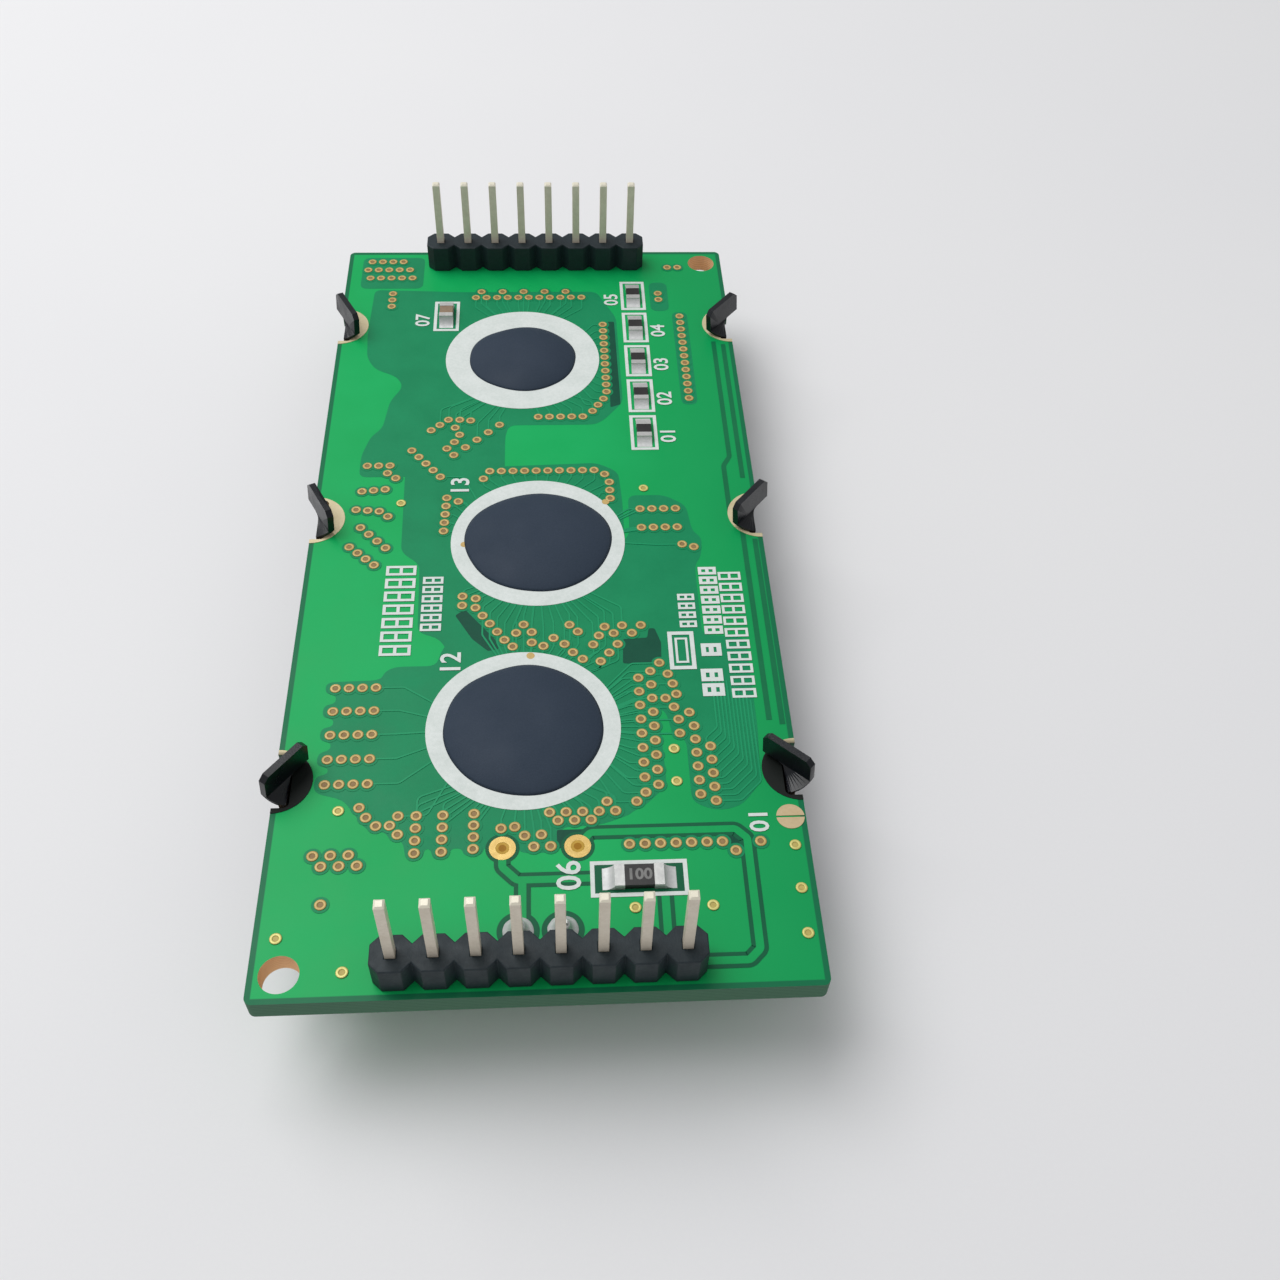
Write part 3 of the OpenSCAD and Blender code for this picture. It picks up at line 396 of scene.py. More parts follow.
# CAD nodes by finish, with the radius of softened edges in mm and the least turn of such an edge in degrees
dressing = [
    ("boardMask", 0, 0, ["board"]),
    ("bezelPaint", 0.06, 35, ["bezel"]),
    ("padPlate", 0, 0, ["tab_pads"]),
    ("jumperPlate", 0, 0, ["jumper_pads"]),
    ("goldPlate", 0, 0, ["eyelets"]),
    ("whiteInk", 0, 0, ["chip_rings", "part_outlines"]),
    ("headerPlastic", 0.08, 35, ["near_header_body", "far_header_body"]),
    ("pinPlate", 0.03, 50, ["near_header_pins", "far_header_pins"]),
    ("solder", 0, 0, ["near_header_solder", "far_header_solder", "large_resistor_solder",
                      "small_resistor_solder", "capacitor_solder"]),
    ("resistorGlaze", 0.04, 35, ["large_resistor_body", "small_resistor_bodies"]),
    ("capacitorCeramic", 0.04, 35, ["capacitor_body"]),
    ("tinPlate", 0.02, 35, ["large_resistor_ends", "small_resistor_ends", "capacitor_ends"]),
    ("tinPlate", 0.04, 35, ["backlight_leads"]),
    ("silicon", 0.02, 35, ["near_die", "middle_die", "far_die"]),
    ("bluePolariser", 0, 0, ["front_polariser", "rear_polariser"]),
    ("plateGlass", 0, 0, ["front_glass", "rear_glass"]),
    ("sealResin", 0, 0, ["cell_seal"]),
    ("stripRubber", 0, 0, ["left_contact_strip", "right_contact_strip"]),
    ("trayPlastic", 0.1, 35, ["backlight_tray"]),
    ("clearGuide", 0, 0, ["light_guide"]),
    ("film", 0, 0, ["diffuser_film", "reflector_film"]),
    ("lampBoard", 0, 0, ["lamp_strip"]),
    ("lampBody", 0.05, 35, ["lamps"]),
]
for materialName, edge, angle, nodeNames in dressing:
    for nodeName in nodeNames:
        dress(nodeName, materialName, edge, angle)
print("nodes dressed")


# Makes a finished piece from a mesh, at the origin, riding on the one body; None keeps what the mesh has
def finishPiece(name, mesh, materialName, smooth=False):
    piece = bpy.data.objects.new(name, mesh)
    bpy.context.scene.collection.objects.link(piece)
    if materialName:
        mesh.materials.clear()
        mesh.materials.append(materials[materialName])
    if smooth is not None:
        for face in mesh.polygons:
            face.use_smooth = smooth
    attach(piece, "root")
    return piece


# Runs a node tree on a mesh or curve, with the given inputs, and returns the result as a plain mesh
def runTree(tree, source, values):
    carrier = bpy.data.objects.new("carrier", source)
    bpy.context.scene.collection.objects.link(carrier)
    modifier = carrier.modifiers.new("make", "NODES")
    modifier.node_group = tree
    for item in tree.interface.items_tree:
        if item.item_type == "SOCKET" and item.in_out == "INPUT" and item.name in values:
            modifier[item.identifier] = values[item.name]
    graph = bpy.context.evaluated_depsgraph_get()
    mesh = bpy.data.meshes.new_from_object(carrier.evaluated_get(graph))
    carrier.modifiers.remove(modifier)
    bpy.data.objects.remove(carrier)
    return mesh


# A modifier's tree that takes a mesh or curve and gives a mesh
def newShape(name, inputs):
    return newTree("Geometry", name, [("Geometry", "Geometry", None)] + inputs, [("Geometry", "Geometry")])


# Flat areas of the board: bare laminate under the mask, where the copper is left out

# corners in mm from the middle line and the near edge; lift: mm above the board; corner: rounding in mm
bareAreas = {
    "lift": 0.004,
    "corner": 0.7,
    "aroundNearChip": [
        (-15.1, 15.0), (-15.1, 16.3), (-14.3, 16.5), (-14.3, 17.0), (-15.1, 17.2), (-15.1, 18.2),
        (-14.3, 18.5), (-14.3, 19.1), (-15.1, 19.3), (-15.1, 20.3), (-14.3, 20.5), (-14.3, 21.1),
        (-15.1, 21.3), (-15.1, 22.3), (-14.3, 22.5), (-14.3, 23.2), (-15.1, 23.4), (-15.1, 24.4),
        (-11.3, 24.5), (-11.0, 25.3), (-10.3, 25.7), (-7.4, 25.7), (-7.1, 27.0), (-6.6, 28.0),
        (5.0, 28.0), (8.4, 22.0), (8.6, 14.9), (7.0, 13.3), (6.2, 12.9), (5.9, 12.6), (4.0, 11.9),
        (1.3, 11.8), (1.1, 9.9), (-1.3, 9.9), (-1.5, 10.6), (-3.6, 10.5), (-3.8, 9.8), (-4.9, 9.8),
        (-5.1, 10.4), (-5.8, 10.4), (-6.0, 9.6), (-6.9, 9.6), (-7.1, 10.4), (-7.5, 10.4), (-7.6, 9.6),
        (-8.7, 9.6), (-8.9, 11.1), (-9.8, 11.2), (-10.1, 11.8), (-11.3, 11.9), (-12.5, 13.6), (-13.1, 14.4)],
    "rightField": [
        (10.2, 13.6), (10.2, 18.7), (9.3, 18.9), (9.0, 20.9), (8.6, 21.4), (5.0, 22.0), (5.0, 36.0),
        (7.2, 38.6), (7.3, 43.1), (10.2, 43.1), (11.9, 41.9), (12.2, 39.0), (12.9, 38.2), (12.7, 36.3),
        (12.1, 35.2), (12.1, 28.2), (15.3, 27.8), (15.3, 19.5), (15.0, 15.0), (14.2, 13.9), (13.4, 13.1),
        (12.2, 12.8), (11.2, 13.0)],
    "aroundMiddleChip": [
        (-6.6, 27.0), (-7.3, 28.3), (-8.9, 28.9), (-9.1, 35.8), (-10.6, 37.1), (-10.8, 46.4),
        (4.9, 47.0), (6.6, 45.9), (6.8, 42.5), (6.8, 34.0), (6.0, 27.0)],
    "aroundFarChip": [
        (-14.5, 45.6), (-14.5, 48.2), (-13.9, 50.5), (-13.0, 51.6), (-12.6, 55.0), (-11.6, 57.0),
        (-12.2, 58.3), (-14.2, 59.4), (-15.0, 61.0), (-15.2, 64.5), (-15.0, 71.0), (-7.0, 70.6),
        (5.6, 70.6), (7.3, 66.6), (7.4, 54.7), (5.7, 52.4), (4.9, 51.8), (-2.4, 51.8), (-2.7, 50.4),
        (-2.7, 45.6)],
    "farLeftCorner": [(-16.4, 71.2), (-16.4, 76.1), (-10.6, 76.1), (-10.6, 71.2)],
    "farRightColumn": [(12.5, 54.3), (12.5, 67.4), (13.9, 67.4), (13.9, 54.3)],
    "farRightCorner": [(10.6, 67.6), (10.6, 72.0), (12.3, 72.0), (12.3, 67.6)],
}

# darkest patches, with no copper on either side
darkPatches = {
    "lift": 0.01,
    "corner": 0.15,
    "besideEyelet": [(1.1, 10.2), (1.1, 11.6), (3.3, 11.6), (3.3, 10.9), (1.9, 10.2)],
    "endOfRow": [(12.3, 10.1), (12.3, 11.0), (13.15, 11.0), (13.15, 10.1)],
    "aboveNearChip": [(6.1, 25.6), (6.2, 27.9), (8.0, 28.0), (8.15, 28.9), (8.6, 28.9), (9.0, 27.5),
                      (8.9, 25.4)],
    "diagonal": [(-6.2, 30.5), (-4.9, 28.2), (-3.7, 27.0), (-2.9, 27.2), (-3.2, 28.1), (-5.5, 31.1)],
    "rightOfPins": [(6.3, 54.0), (6.5, 66.0), (7.1, 66.0), (7.2, 54.4)],
}


# Turns a bmesh into a plain mesh
def plainMesh(mesh, name):
    result = bpy.data.meshes.new(name)
    mesh.to_mesh(result)
    mesh.free()
    return result


# Rounds the corners of an outline with a few points each; a corner takes less than half of a short side
def softened(corners, radius, share=0.45):
    points = []
    for i, corner in enumerate(corners):
        here = Vector(corner)
        for other in (Vector(corners[i - 1]), Vector(corners[(i + 1) % len(corners)])):
            step = other - here
            points.append(here + step.normalized() * min(radius, step.length * share))
        first, last = points[-2], points[-1]
        points[-1:] = [first.lerp(here, t).lerp(here.lerp(last, t), t) for t in (0.25, 0.5, 0.75, 1.0)]
    return points


# A thin plate on the board for each outline, every one a hair higher than the last: both in mm
def plates(table, thickness=0.002, step=0.0004):
    mesh = bmesh.new()
    lift = table["lift"]
    for name, corners in table.items():
        if name in ("lift", "corner"):
            continue
        outline = softened(corners, table["corner"])
        face = mesh.faces.new([mesh.verts.new(spot(p.x, p.y, lift)) for p in outline])
        face.normal_update()
        if face.normal.z < 0:
            face.normal_flip()
        grown = bmesh.ops.extrude_face_region(mesh, geom=[face])["geom"]
        lowered = [v for v in grown if isinstance(v, bmesh.types.BMVert)]
        bmesh.ops.translate(mesh, verts=lowered, vec=(0, 0, thickness * mm))
        lift += step
    bmesh.ops.recalc_face_normals(mesh, faces=mesh.faces)
    bmesh.ops.triangulate(mesh, faces=[f for f in mesh.faces if len(f.verts) > 4])
    return plainMesh(mesh, "plates")


chipPlaces = [(-1.1, 20.0), (0.0, 38.1), (-1.25, 60.7)]     # mm from the middle line and the near edge

# Round gaps in the copper, white print below the caps, gold spots on the rings, amber discs near the top of the
# plated holes with a darker one in the middle
# places: mm from the middle line and the near edge, radius, and height of the top face above the board
discs = {
    "copperGaps": dict(material="boardGap", slot="board", thickness=0.004,
                       places=[(-1.4, 4.3, 1.35, 0.016), (1.4, 4.3, 1.35, 0.0164)]),
    "capGrounds": dict(material="whiteInk", slot="white_ink", thickness=0.004,
                       places=[(*place, radius, 0.048) for place, radius in zip(chipPlaces, (5.75, 5.9, 5.0))]),
    "ringSpots": dict(material="viaRing", slot="via_ring", thickness=0.002,
                      places=[(-5.75, 37.8, 0.28, 0.054), (-0.6, 26.45, 0.3, 0.054),
                              (5.45, 42.35, 0.3, 0.054)]),
    "eyeletDiscs": dict(material="boreRim", slot="gold_plate", thickness=0.3,
                        places=[(-2.45, 10.3, 0.445, 0.044), (2.45, 10.3, 0.445, 0.044)]),
    "eyeletMiddles": dict(material="boreAmber", slot="gold_plate", thickness=0.1,
                        places=[(-2.45, 10.3, 0.26, 0.047), (2.45, 10.3, 0.26, 0.047)]),
}


def discMesh(places, thickness):
    mesh = bmesh.new()
    for x, y, radius, lift in places:
        matrix = Matrix.Translation(spot(x, y, lift - thickness / 2))
        bmesh.ops.create_cone(mesh, cap_ends=True, segments=40, radius1=radius * mm, radius2=radius * mm,
                              depth=thickness * mm, matrix=matrix)
    return plainMesh(mesh, "discs")


for name, look in discs.items():
    finishPiece(name, discMesh(look["places"], look["thickness"]), look["material"])
finishPiece("bareAreas", plates(bareAreas), "boardBare")
finishPiece("darkPatches", plates(darkPatches), "boardDark")

# gap in the copper round the solder of the large resistor, in four strips: mm beyond each side of the solder
gapReach = dict(left=0.48, right=0.6, near=0.24, far=0.3)


def gapStrips(reach):
    low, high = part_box("large_resistor_solder")
    x0, x1 = low[0] / mm, high[0] / mm
    y0, y1 = (low[1] - nearEdge) / mm, (high[1] - nearEdge) / mm
    left, right = x0 - reach["left"], x1 + reach["right"]
    near, far = y0 - reach["near"], y1 + reach["far"]
    strips = {"lift": 0.028, "corner": 0.05}
    for name, a, b, c, d in (("left", left, near, x0, far), ("right", x1, near, right, far),
                             ("near", x0, near, x1, y0), ("far", x0, y1, x1, far)):
        strips[name] = [(a, b), (a, d), (c, d), (c, b)]
    return strips


finishPiece("resistorGap", plates(gapStrips(gapReach)), "boardGap")
print("flat areas laid")


# Tracks: a curve through the corners, rounded and drawn out to a flat ribbon

def buildTrackTree():
    tree, given, result = newShape("tracks", [
        ("Width", "Float", 0.3 * mm), ("Thickness", "Float", 0.004 * mm),
        ("Corner radius", "Float", 0.4 * mm), ("Finish", "Material", None)])
    fillet = addNode(tree, "GeometryNodeFilletCurve", mode="POLY", Curve=given["Geometry"], Count=4,
                     Radius=given["Corner radius"], **{"Limit Radius": True})
    upright = addNode(tree, "GeometryNodeSetCurveNormal", mode="Z_UP", Curve=fillet.outputs[0])
    profile = addNode(tree, "GeometryNodeCurvePrimitiveQuadrilateral", Width=given["Width"],
                      Height=given["Thickness"])
    sweep = addNode(tree, "GeometryNodeCurveToMesh", Curve=upright.outputs[0],
                    **{"Profile Curve": profile.outputs[0], "Fill Caps": True})
    paint = addNode(tree, "GeometryNodeSetMaterial", Geometry=sweep.outputs[0], Material=given["Finish"])
    feed(tree, result["Geometry"], paint.outputs[0])
    return tree


trackTree = buildTrackTree()


# neighbouring runs lie at heights of their own, so that none shares a plane where they cross
def curveOf(runs, lift, step=0.0006, levels=12):
    curve = bpy.data.curves.new("runs", "CURVE")
    curve.dimensions = "3D"
    for index, run in enumerate(runs):
        line = curve.splines.new("POLY")
        line.points.add(len(run) - 1)
        for point, (x, y) in zip(line.points, run):
            point.co = (*spot(x, y, lift + step * (index % levels)), 1.0)
    return curve


def layTracks(name, runs, size, materialName, corner=0.4):
    width, lift = size
    mesh = runTree(trackTree, curveOf(runs, lift), {"Width": width * mm, "Corner radius": corner * mm,
                                                    "Finish": materials[materialName]})
    finishPiece(name, mesh, None)


# in mm: width and height above the board of each kind, and runs from the middle line and the near edge
tracks = {
    "wide": (0.52, 0.0235),
    "clearance": (1.08, 0.018),
    "edge": (0.4, 0.018),
    "eyeletGap": (0.26, 0.0165),
    "fine": (0.13, 0.035),
    "wideRuns": [[(2.96, 10.92), (3.3, 11.33), (12.9, 11.33), (13.62, 10.6), (13.62, 2.6), (12.9, 1.87),
                  (8.9, 1.87)],
                 [(-2.45, 9.5), (-2.45, 8.9), (-1.5, 7.92), (3.9, 7.92)],
                 [(-1.15, 7.9), (-1.15, 4.8)],
                 [(7.95, 7.2), (7.95, 2.4)]],
    "edgeRuns": [[(16.2, 20.2), (16.2, 39.5), (15.4, 41.0), (15.4, 46.5), (16.0, 47.6), (16.0, 63.0)],
                 [(17.1, 19.8), (17.1, 38.0)],
                 [(16.85, 45.0), (16.85, 62.6)]],
}
layTracks("trackClearance", tracks["wideRuns"], tracks["clearance"], "boardGap")
layTracks("wideTracks", tracks["wideRuns"], tracks["wide"], "boardTrack")
layTracks("edgeTracks", tracks["edgeRuns"], tracks["edge"], "boardEdge", 0.8)

# round gap in the copper beside each large plated hole, in mm
eyeletRing = dict(x=2.45, y=10.3, radius=0.98, steps=32)


def ringRuns(ring):
    turns = [2 * pi * k / ring["steps"] for k in range(ring["steps"] + 1)]
    return [[(side * ring["x"] + ring["radius"] * cos(turn), ring["y"] + ring["radius"] * sin(turn))
             for turn in turns] for side in (-1, 1)]


layTracks("eyeletGaps", ringRuns(eyeletRing), tracks["eyeletGap"], "boardGap", 0.01)


# Places of the vias, read from the CAD rings: corners that share a face belong to the same ring
def ringCentres(nodeName):
    mesh = nodes[nodeName].data
    owner, extents = {}, {}

    def root(key):
        while owner[key] != key:
            key = owner[key]
        return key

    keys = []
    for vertex in mesh.vertices:
        key = tuple(round(c * 1e6) for c in vertex.co)
        keys.append(key)
        owner.setdefault(key, key)
    for face in mesh.polygons:
        first = root(keys[face.vertices[0]])
        for index in face.vertices[1:]:
            owner[root(keys[index])] = first
    for key in owner:
        extent = extents.setdefault(root(key), [key[0], key[0], key[1], key[1]])
        extent[0] = min(extent[0], key[0])
        extent[1] = max(extent[1], key[0])
        extent[2] = min(extent[2], key[1])
        extent[3] = max(extent[3], key[1])
    centres = [((a + b) / 2 * 1e-6, (c + d) / 2 * 1e-6) for a, b, c, d in extents.values()]
    return sorted(centres)


viaCentres = ringCentres("vias")
print("vias found:", len(viaCentres))

# vias that stand in the copper, with no gap round them: mm from the middle line and the near edge
copperVias = [(-16.3, 4.3), (-12.05, 1.9), (-13.3, 13.5), (16.75, 9.95), (16.75, 6.75), (16.75, 3.55),
              (10.95, 5.7), (6.0, 5.7), (9.3, 17.9), (9.3, 15.2), (-10.9, 42.5), (8.6, 43.9)]

# in mm: height of the rings above the board, height between overlapping gaps and how near those vias are,
# and how far a via may stand from its place in the list above
viaLook = dict(lift=0.05, step=0.0007, neighbour=1.3, match=0.4)


def isInCopper(x, y):
    px, py = x / mm, (y - nearEdge) / mm
    return any((px - cx) ** 2 + (py - cy) ** 2 < viaLook["match"] ** 2 for cx, cy in copperVias)


def buildViaTree():
    tree, given, result = newShape("viaField", [
        ("Ring radius", "Float", 0.29 * mm), ("Rim", "Float", 0.11 * mm), ("Rise", "Float", 0.3),
        ("Hole radius", "Float", 0.19 * mm), ("Halo radius", "Float", 0.58 * mm), ("Halo", "Bool", True),
        ("Ring finish", "Material", None), ("Hole finish", "Material", None),
        ("Halo finish", "Material", None)])
    circle = addNode(tree, "GeometryNodeCurvePrimitiveCircle", Resolution=14, Radius=given["Ring radius"])
    rim = addNode(tree, "GeometryNodeCurvePrimitiveCircle", Resolution=6, Radius=given["Rim"])
    scale = addNode(tree, "ShaderNodeCombineXYZ", X=1.0, Y=given["Rise"], Z=1.0)
    press = addNode(tree, "GeometryNodeTransform", Geometry=rim.outputs[0], Scale=scale.outputs[0])
    sweep = addNode(tree, "GeometryNodeCurveToMesh", Curve=circle.outputs[0],
                    **{"Profile Curve": press.outputs[0]})
    smooth = addNode(tree, "GeometryNodeSetShadeSmooth", Geometry=sweep.outputs[0])
    parts = [addNode(tree, "GeometryNodeSetMaterial", Geometry=smooth.outputs[0],
                     Material=given["Ring finish"])]
    for label, count, height in (("Hole", 12, -0.004), ("Halo", 18, -0.022)):
        disc = addNode(tree, "GeometryNodeMeshCircle", fill_type="NGON", Vertices=count,
                       Radius=given[label + " radius"])
        move = addNode(tree, "GeometryNodeTransform", Geometry=disc.outputs[0],
                       Translation=(0, 0, height * mm))
        parts.append(addNode(tree, "GeometryNodeSetMaterial", Geometry=move.outputs[0],
                             Material=given[label + " finish"]))
    parts[2] = addNode(tree, "GeometryNodeSwitch", input_type="GEOMETRY", Switch=given["Halo"],
                       **{"True": parts[2].outputs[0]})
    join = addNode(tree, "GeometryNodeJoinGeometry")
    for part in parts:
        feed(tree, join.inputs[0], part.outputs[0])
    scatter = addNode(tree, "GeometryNodeInstanceOnPoints", Points=given["Geometry"],
                      Instance=join.outputs[0])
    real = addNode(tree, "GeometryNodeRealizeInstances", Geometry=scatter.outputs[0])
    feed(tree, result["Geometry"], real.outputs[0])
    return tree


viaTree = buildViaTree()


# overlapping gaps lie at heights of their own: each via takes the lowest one that its neighbours leave
def stepsOf(places):
    steps = []
    for x, y in places:
        taken = {steps[k] for k, (px, py) in enumerate(places[:len(steps)])
                 if (x - px) ** 2 + (y - py) ** 2 < (viaLook["neighbour"] * mm) ** 2}
        steps.append(min(set(range(len(taken) + 1)) - taken))
    return steps


def viaPiece(name, places, halo, finish, holeFinish):
    points = bpy.data.meshes.new("points")
    points.from_pydata([(x, y, boardTop + (viaLook["lift"] + viaLook["step"] * step) * mm)
                        for (x, y), step in zip(places, stepsOf(places))], [], [])
    mesh = runTree(viaTree, points, {"Halo": halo, "Ring finish": materials[finish],
                                     "Hole finish": materials[holeFinish],
                                     "Halo finish": materials["boardBare"]})
    return finishPiece(name, mesh, None, None)


onCopper, inGap = [], []
for x, y in viaCentres:
    (onCopper if isInCopper(x, y) else inGap).append((x, y))
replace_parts(viaPiece("viasInGaps", inGap, True, "viaRing", "viaHole"), "vias")
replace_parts(viaPiece("viasInCopper", onCopper, False, "viaRingBare", "viaHoleBare"), "vias")
print("vias:", len(inGap), "in gaps,", len(onCopper), "in copper")


# Fine tracks: from the vias round each chip towards its ring, and a nest of lines on the right
# mm from the chip's middle, and share of the way that runs straight
fan = dict(reach=11.5, stop=6.6, slack=6.7, straight=0.45)
# mm from the middle line and the near edge
nest = dict(lines=11, startX=12.0, startY=13.55, apart=0.46, turnX=15.05, turnStep=0.26, slant=1.5,
            endY=22.0, endStep=0.3)


def fanRuns():
    runs = []
    for x, y in inGap:
        px, py = x / mm, (y - nearEdge) / mm
        for cx, cy in chipPlaces:
            away = Vector((px - cx, py - cy))
            if away.length < fan["reach"]:
                straight = (away.length - fan["slack"]) * fan["straight"]
                if abs(away.x) > abs(away.y):
                    bend = (px - away.x / abs(away.x) * straight, py)
                else:
                    bend = (px, py - away.y / abs(away.y) * straight)
                to = away.normalized() * fan["stop"]
                runs.append([(px, py), bend, (cx + to.x, cy + to.y)])
    return runs


def nestRuns():
    runs = []
    for k in range(nest["lines"]):
        y = nest["startY"] + nest["apart"] * k
        turn = nest["turnX"] - nest["turnStep"] * k
        runs.append([(nest["startX"], y), (turn - nest["slant"], y), (turn, y + nest["slant"]),
                     (turn, nest["endY"] + nest["endStep"] * k)])
    return runs


layTracks("fineTracks", fanRuns() + nestRuns(), tracks["fine"], "boardFine", 0.5)
print("tracks laid")


# Epoxy caps: poured domes with an outline that is not quite round
# radius, height and wobble in mm; flat: how far the top stays level; squash: scale across and along
capShapes = {
    "near": dict(radius=5.66, height=1.0, flat=2.6, wobble=0.12, squash=(1.0, 1.0), seed=3),
    "middle": dict(radius=5.78, height=1.0, flat=2.6, wobble=0.14, squash=(1.0, 0.94), seed=11),
    "far": dict(radius=4.78, height=0.95, flat=2.4, wobble=0.12, squash=(1.0, 0.93), seed=23),
}
# in mm: foot above the board, depth of the dents and size of the noise; edge: roundness of the rim
pour = dict(around=96, rings=22, foot=0.02, edge=0.8, sag=0.05, outlineNoise=1.3, sagNoise=0.5)


def capMesh(place, shape):
    mesh = bmesh.new()
    around, rings = pour["around"], pour["rings"]
    cx, cy = place
    loops = []
    for ring in range(1, rings + 1):
        t = ring / rings
        loop = []
        for k in range(around):
            angle = 2 * pi * k / around
            heading = Vector((cos(angle), sin(angle), 0)) * pour["outlineNoise"]
            heading.z = shape["seed"]
            reach = shape["radius"] + noise.noise(heading) * shape["wobble"] * t * 2
            x = cos(angle) * reach * t * shape["squash"][0]
            y = sin(angle) * reach * t * shape["squash"][1]
            dome = (1 - t ** shape["flat"]) ** pour["edge"]
            dent = Vector((x * pour["sagNoise"], y * pour["sagNoise"], shape["seed"] + 9))
            sag = noise.noise(dent) * pour["sag"] * (1 - t)
            loop.append(mesh.verts.new(spot(cx + x, cy + y, pour["foot"] + shape["height"] * dome + sag)))
        loops.append(loop)
    top = mesh.verts.new(spot(cx, cy, pour["foot"] + shape["height"]))
    for k in range(around):
        mesh.faces.new((top, loops[0][k], loops[0][(k + 1) % around]))
    for inner, outer in zip(loops, loops[1:]):
        for k in range(around):
            mesh.faces.new((inner[k], outer[k], outer[(k + 1) % around], inner[(k + 1) % around]))
    mesh.faces.new(list(reversed(loops[-1])))
    bmesh.ops.recalc_face_normals(mesh, faces=mesh.faces)
    return plainMesh(mesh, "cap")


for (name, shape), place in zip(capShapes.items(), chipPlaces):
    piece = finishPiece(name + "Cap", capMesh(place, shape), "epoxy", True)
    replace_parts(piece, name + "_epoxy_cap")
print("caps poured")


# Soldered joints of the backlight's leads: a hollow-sided fillet turned round the lead
# radius and height of the profile in mm; lumps: share of the radius
jointShape = dict(profile=[(1.0, 0.0), (0.96, 0.05), (0.78, 0.16), (0.62, 0.34), (0.52, 0.56), (0.46, 0.76),
                           (0.38, 0.87), (0.22, 0.92), (0.0, 0.93)], around=40, lumps=0.05, lumpNoise=2)


def jointMesh():
    low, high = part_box("lead_joints")
    centreY = (low[1] + high[1]) / 2
    profile, count = jointShape["profile"], jointShape["around"]
    mesh = bmesh.new()
    for side in (-1, 1):
        centre = Vector((side * (high[0] - profile[0][0] * mm), centreY, boardTop))
        loops = []
        for r, z in profile[:-1]:
            loop = []
            for k in range(count):
                angle = 2 * pi * k / count
                heading = Vector((cos(angle), sin(angle), 0)) * jointShape["lumpNoise"]
                heading.z = side + z
                reach = r * (1 + jointShape["lumps"] * noise.noise(heading))
                loop.append(mesh.verts.new(centre + Vector((cos(angle) * reach, sin(angle) * reach, z)) * mm))
            loops.append(loop)
        top = mesh.verts.new(centre + Vector((0, 0, profile[-1][1])) * mm)
        for lower, upper in zip(loops, loops[1:]):
            for k in range(count):
                mesh.faces.new((lower[k], lower[(k + 1) % count], upper[(k + 1) % count], upper[k]))
        for k in range(count):
            mesh.faces.new((loops[-1][k], loops[-1][(k + 1) % count], top))
        mesh.faces.new(list(reversed(loops[0])))
    bmesh.ops.recalc_face_normals(mesh, faces=mesh.faces)
    return plainMesh(mesh, "joints")


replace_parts(finishPiece("leadFillets", jointMesh(), "solder", True), "lead_joints")
print("solder joints made")


# White print: plain numbers and outlined blank boxes
lettering = dict(sizePerHeight=1.38, bolder=0.035, curveSteps=3)     # bolder: mm on each side of a stroke


def textMesh(digits, height):
    curve = bpy.data.curves.new("digits", "FONT")
    curve.body = digits
    curve.size = height * mm * lettering["sizePerHeight"]
    curve.align_x = "CENTER"
    curve.align_y = "CENTER"
    curve.offset = lettering["bolder"] * mm
    curve.resolution_u = lettering["curveSteps"]
    holder = bpy.data.objects.new("digits", curve)
    bpy.context.scene.collection.objects.link(holder)
    graph = bpy.context.evaluated_depsgraph_get()
    mesh = bpy.data.meshes.new_from_object(holder.evaluated_get(graph))
    bpy.data.objects.remove(holder)
    return mesh


# everything in mm but the turns
marks = {
    "lift": 0.052,
    # number, place, height, turn in degrees
    "numbers": [("06", 1.9, 8.15, 1.6, 90), ("01", 14.6, 11.9, 1.3, 90), ("12", -6.3, 25.9, 1.5, 90),
                ("13", -6.2, 44.4, 1.5, 90), ("01", 11.1, 50.3, 1.3, 90), ("02", 11.1, 55.1, 1.3, 90),
                ("03", 11.1, 59.8, 1.3, 90), ("04", 11.1, 64.6, 1.3, 90), ("05", 7.0, 69.3, 1.3, 90),
                ("07", -10.3, 66.3, 1.3, 90)],
    # rows of blank cells along the board: left, right, near end, length of a cell, gap, cells, line width
    "rows": [(-11.6, -9.3, 26.7, 1.0, 0.32, 7, 0.24), (-8.75, -7.2, 29.0, 0.72, 0.22, 6, 0.2),
             (10.5, 11.8, 28.9, 0.65, 0.25, 4, 0.2), (12.3, 13.7, 28.2, 0.8, 0.2, 7, 0.26),
             (11.7, 13.3, 22.4, 1.15, 0.2, 2, 0.36), (11.9, 13.4, 26.1, 1.2, 0.2, 1, 0.36),
             (13.8, 15.55, 22.2, 0.84, 0.3, 11, 0.2)],
    # outlined blank fields: left, near, right, far, line width
    "boxes": [(9.5, 24.9, 11.45, 28.5, 0.32), (10.0, 25.5, 10.95, 27.9, 0.18)],
    # value on the large resistor: number, height, lift above the body
    "value": ("100", 0.8, 0.004),
}


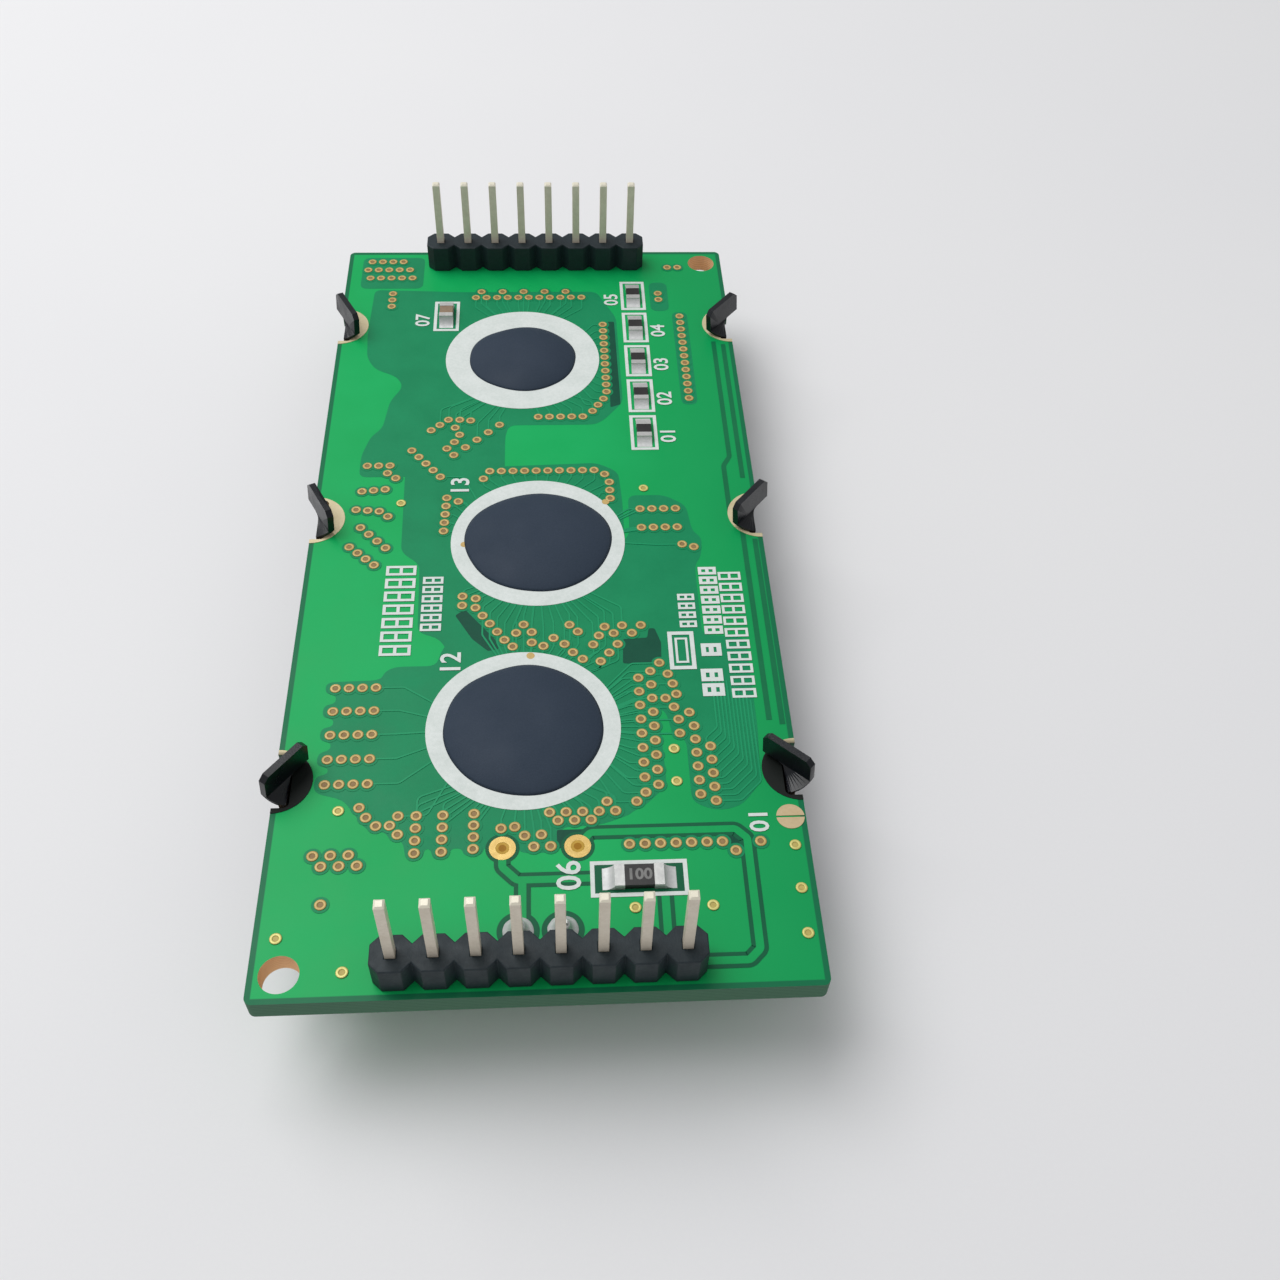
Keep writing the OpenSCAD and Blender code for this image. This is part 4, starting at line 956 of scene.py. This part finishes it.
def printedMesh():
    mesh = bmesh.new()
    lift = marks["lift"]

    def bar(x0, y0, x1, y1):
        corners = ((x0, y0), (x1, y0), (x1, y1), (x0, y1))
        mesh.faces.new([mesh.verts.new(spot(x, y, lift)) for x, y in corners])

    def box(x0, y0, x1, y1, line):
        bar(x0, y0, x1, y0 + line)
        bar(x0, y1 - line, x1, y1)
        bar(x0, y0 + line, x0 + line, y1 - line)
        bar(x1 - line, y0 + line, x1, y1 - line)

    for digits, x, y, height, turn in marks["numbers"]:
        number = textMesh(digits, height)
        number.transform(Matrix.Translation(spot(x, y, lift)) @ Matrix.Rotation(radians(turn), 4, "Z"))
        mesh.from_mesh(number)
    for x0, x1, start, length, gap, count, line in marks["rows"]:
        for k in range(count):
            y = start + k * (length + gap)
            box(x0, y, x1, y + length, line)
            bar((x0 + x1 - line) / 2, y + line, (x0 + x1 + line) / 2, y + length - line)
    for x0, y0, x1, y1, line in marks["boxes"]:
        box(x0, y0, x1, y1, line)
    return plainMesh(mesh, "print")


finishPiece("boardPrint", printedMesh(), "whiteInk")

bodyLow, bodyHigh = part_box("large_resistor_body")
digits, height, lift = marks["value"]
value = textMesh(digits, height)
value.transform(Matrix.Translation(((bodyLow[0] + bodyHigh[0]) / 2, (bodyLow[1] + bodyHigh[1]) / 2,
                                    bodyHigh[2] + lift * mm)))
finishPiece("resistorValue", value, "greyInk")
print("print laid")


# Display side: rows of characters made of dots, on the outer face of the polariser
def buildDotTree():
    tree, given, result = newShape("displayDots", [
        ("Columns", "Int", 20), ("Rows", "Int", 4), ("Step X", "Float", 5.6 * mm),
        ("Step Y", "Float", 2.86 * mm), ("Dots X", "Int", 8), ("Dots Y", "Int", 5),
        ("Dot step X", "Float", 0.52 * mm), ("Dot step Y", "Float", 0.46 * mm), ("Dot", "Float", 0.4 * mm),
        ("Finish", "Material", None)])

    def gridOf(countX, countY, stepX, stepY):
        grid = addNode(tree, "GeometryNodeMeshGrid")
        for axis, count, step in (("X", countX, stepX), ("Y", countY, stepY)):
            less = mathOf(tree, "SUBTRACT", given[count], 1)
            feed(tree, grid.inputs["Size " + axis], mathOf(tree, "MULTIPLY", less, given[step]))
            feed(tree, grid.inputs["Vertices " + axis], given[count])
        return grid.outputs[0]

    letterPlaces = gridOf("Rows", "Columns", "Step X", "Step Y")
    dotPlaces = gridOf("Dots X", "Dots Y", "Dot step X", "Dot step Y")
    dot = addNode(tree, "GeometryNodeMeshGrid", **{"Vertices X": 2, "Vertices Y": 2, "Size X": given["Dot"],
                                                   "Size Y": given["Dot"]})
    letter = addNode(tree, "GeometryNodeInstanceOnPoints", Points=dotPlaces, Instance=dot.outputs[0])
    page = addNode(tree, "GeometryNodeInstanceOnPoints", Points=letterPlaces, Instance=letter.outputs[0])
    real = addNode(tree, "GeometryNodeRealizeInstances", Geometry=page.outputs[0])
    flip = addNode(tree, "GeometryNodeFlipFaces", Mesh=real.outputs[0])
    paint = addNode(tree, "GeometryNodeSetMaterial", Geometry=flip.outputs[0], Material=given["Finish"])
    feed(tree, result["Geometry"], paint.outputs[0])
    return tree


dotLift = 0.004     # mm out of the polariser's face
sheetLow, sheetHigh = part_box("front_polariser")
dots = runTree(buildDotTree(), bpy.data.meshes.new("seed"), {"Finish": materials["displayDot"]})
dots.transform(Matrix.Translation(((sheetLow[0] + sheetHigh[0]) / 2, (sheetLow[1] + sheetHigh[1]) / 2,
                                   sheetLow[2] - dotLift * mm)))
finishPiece("displayDots", dots, None)
print("display dots:", len(dots.polygons))


# Floor, lights and camera

floorLook = dict(a=(238, 238, 239), b=(235, 235, 237), patch=12, low=0.7, high=0.8, bump=0.02,
                 reach=1.2)     # metres from the middle to each side


def buildFloor(look):
    material, tree, shader, place = newMaterial("floorPaper")
    addSkin(tree, shader, place, look)
    mesh = bpy.data.meshes.new("floor")
    reach = look["reach"]
    mesh.from_pydata([(-reach, -reach, 0), (reach, -reach, 0), (reach, reach, 0), (-reach, reach, 0)], [],
                     [(0, 1, 2, 3)])
    mesh.materials.append(material)
    floor = bpy.data.objects.new("floor", mesh)
    bpy.context.scene.collection.objects.link(floor)


def addLamp(name, place, size, power):
    lamp = bpy.data.lights.new(name, "AREA")
    lamp.shape = "RECTANGLE"
    lamp.size, lamp.size_y = size
    lamp.energy = power
    holder = bpy.data.objects.new(name, lamp)
    holder.location = place
    holder.rotation_euler = (-Vector(place)).to_track_quat("-Z", "Y").to_euler()
    bpy.context.scene.collection.objects.link(holder)


buildFloor(floorLook)

# places and sizes in metres, power in watts; both lamps point at the middle of the floor
lamps = {
    "window": dict(place=(-0.22, 0.16, 0.47), size=(0.45, 0.4), power=2.1),
    "front": dict(place=(-0.2, -0.35, 0.5), size=(0.5, 0.5), power=0.2),
}
for name, values in lamps.items():
    addLamp(name, **values)
roomLight = {"Color": (0.985, 0.988, 1.0, 1), "Strength": 0.38}
world = bpy.data.worlds.new("room")
world.use_nodes = True
for label, value in roomLight.items():
    world.node_tree.nodes["Background"].inputs[label].default_value = value
bpy.context.scene.world = world

# place and nearest drawn distance in mm, turn in degrees
cameraView = dict(place=(1.463, -74.644, 84.764), turn=(40.02, -1.938, -3.051), lens=38.0, sensor=36, near=5)
camera = bpy.data.cameras.new("camera")
camera.lens = cameraView["lens"]
camera.sensor_width = cameraView["sensor"]
camera.clip_start = cameraView["near"] * mm
eye = bpy.data.objects.new("camera", camera)
eye.location = Vector(cameraView["place"]) * mm
eye.rotation_euler = [radians(a) for a in cameraView["turn"]]
bpy.context.scene.collection.objects.link(eye)
bpy.context.scene.camera = eye
bpy.context.scene.view_settings.view_transform = "Standard"
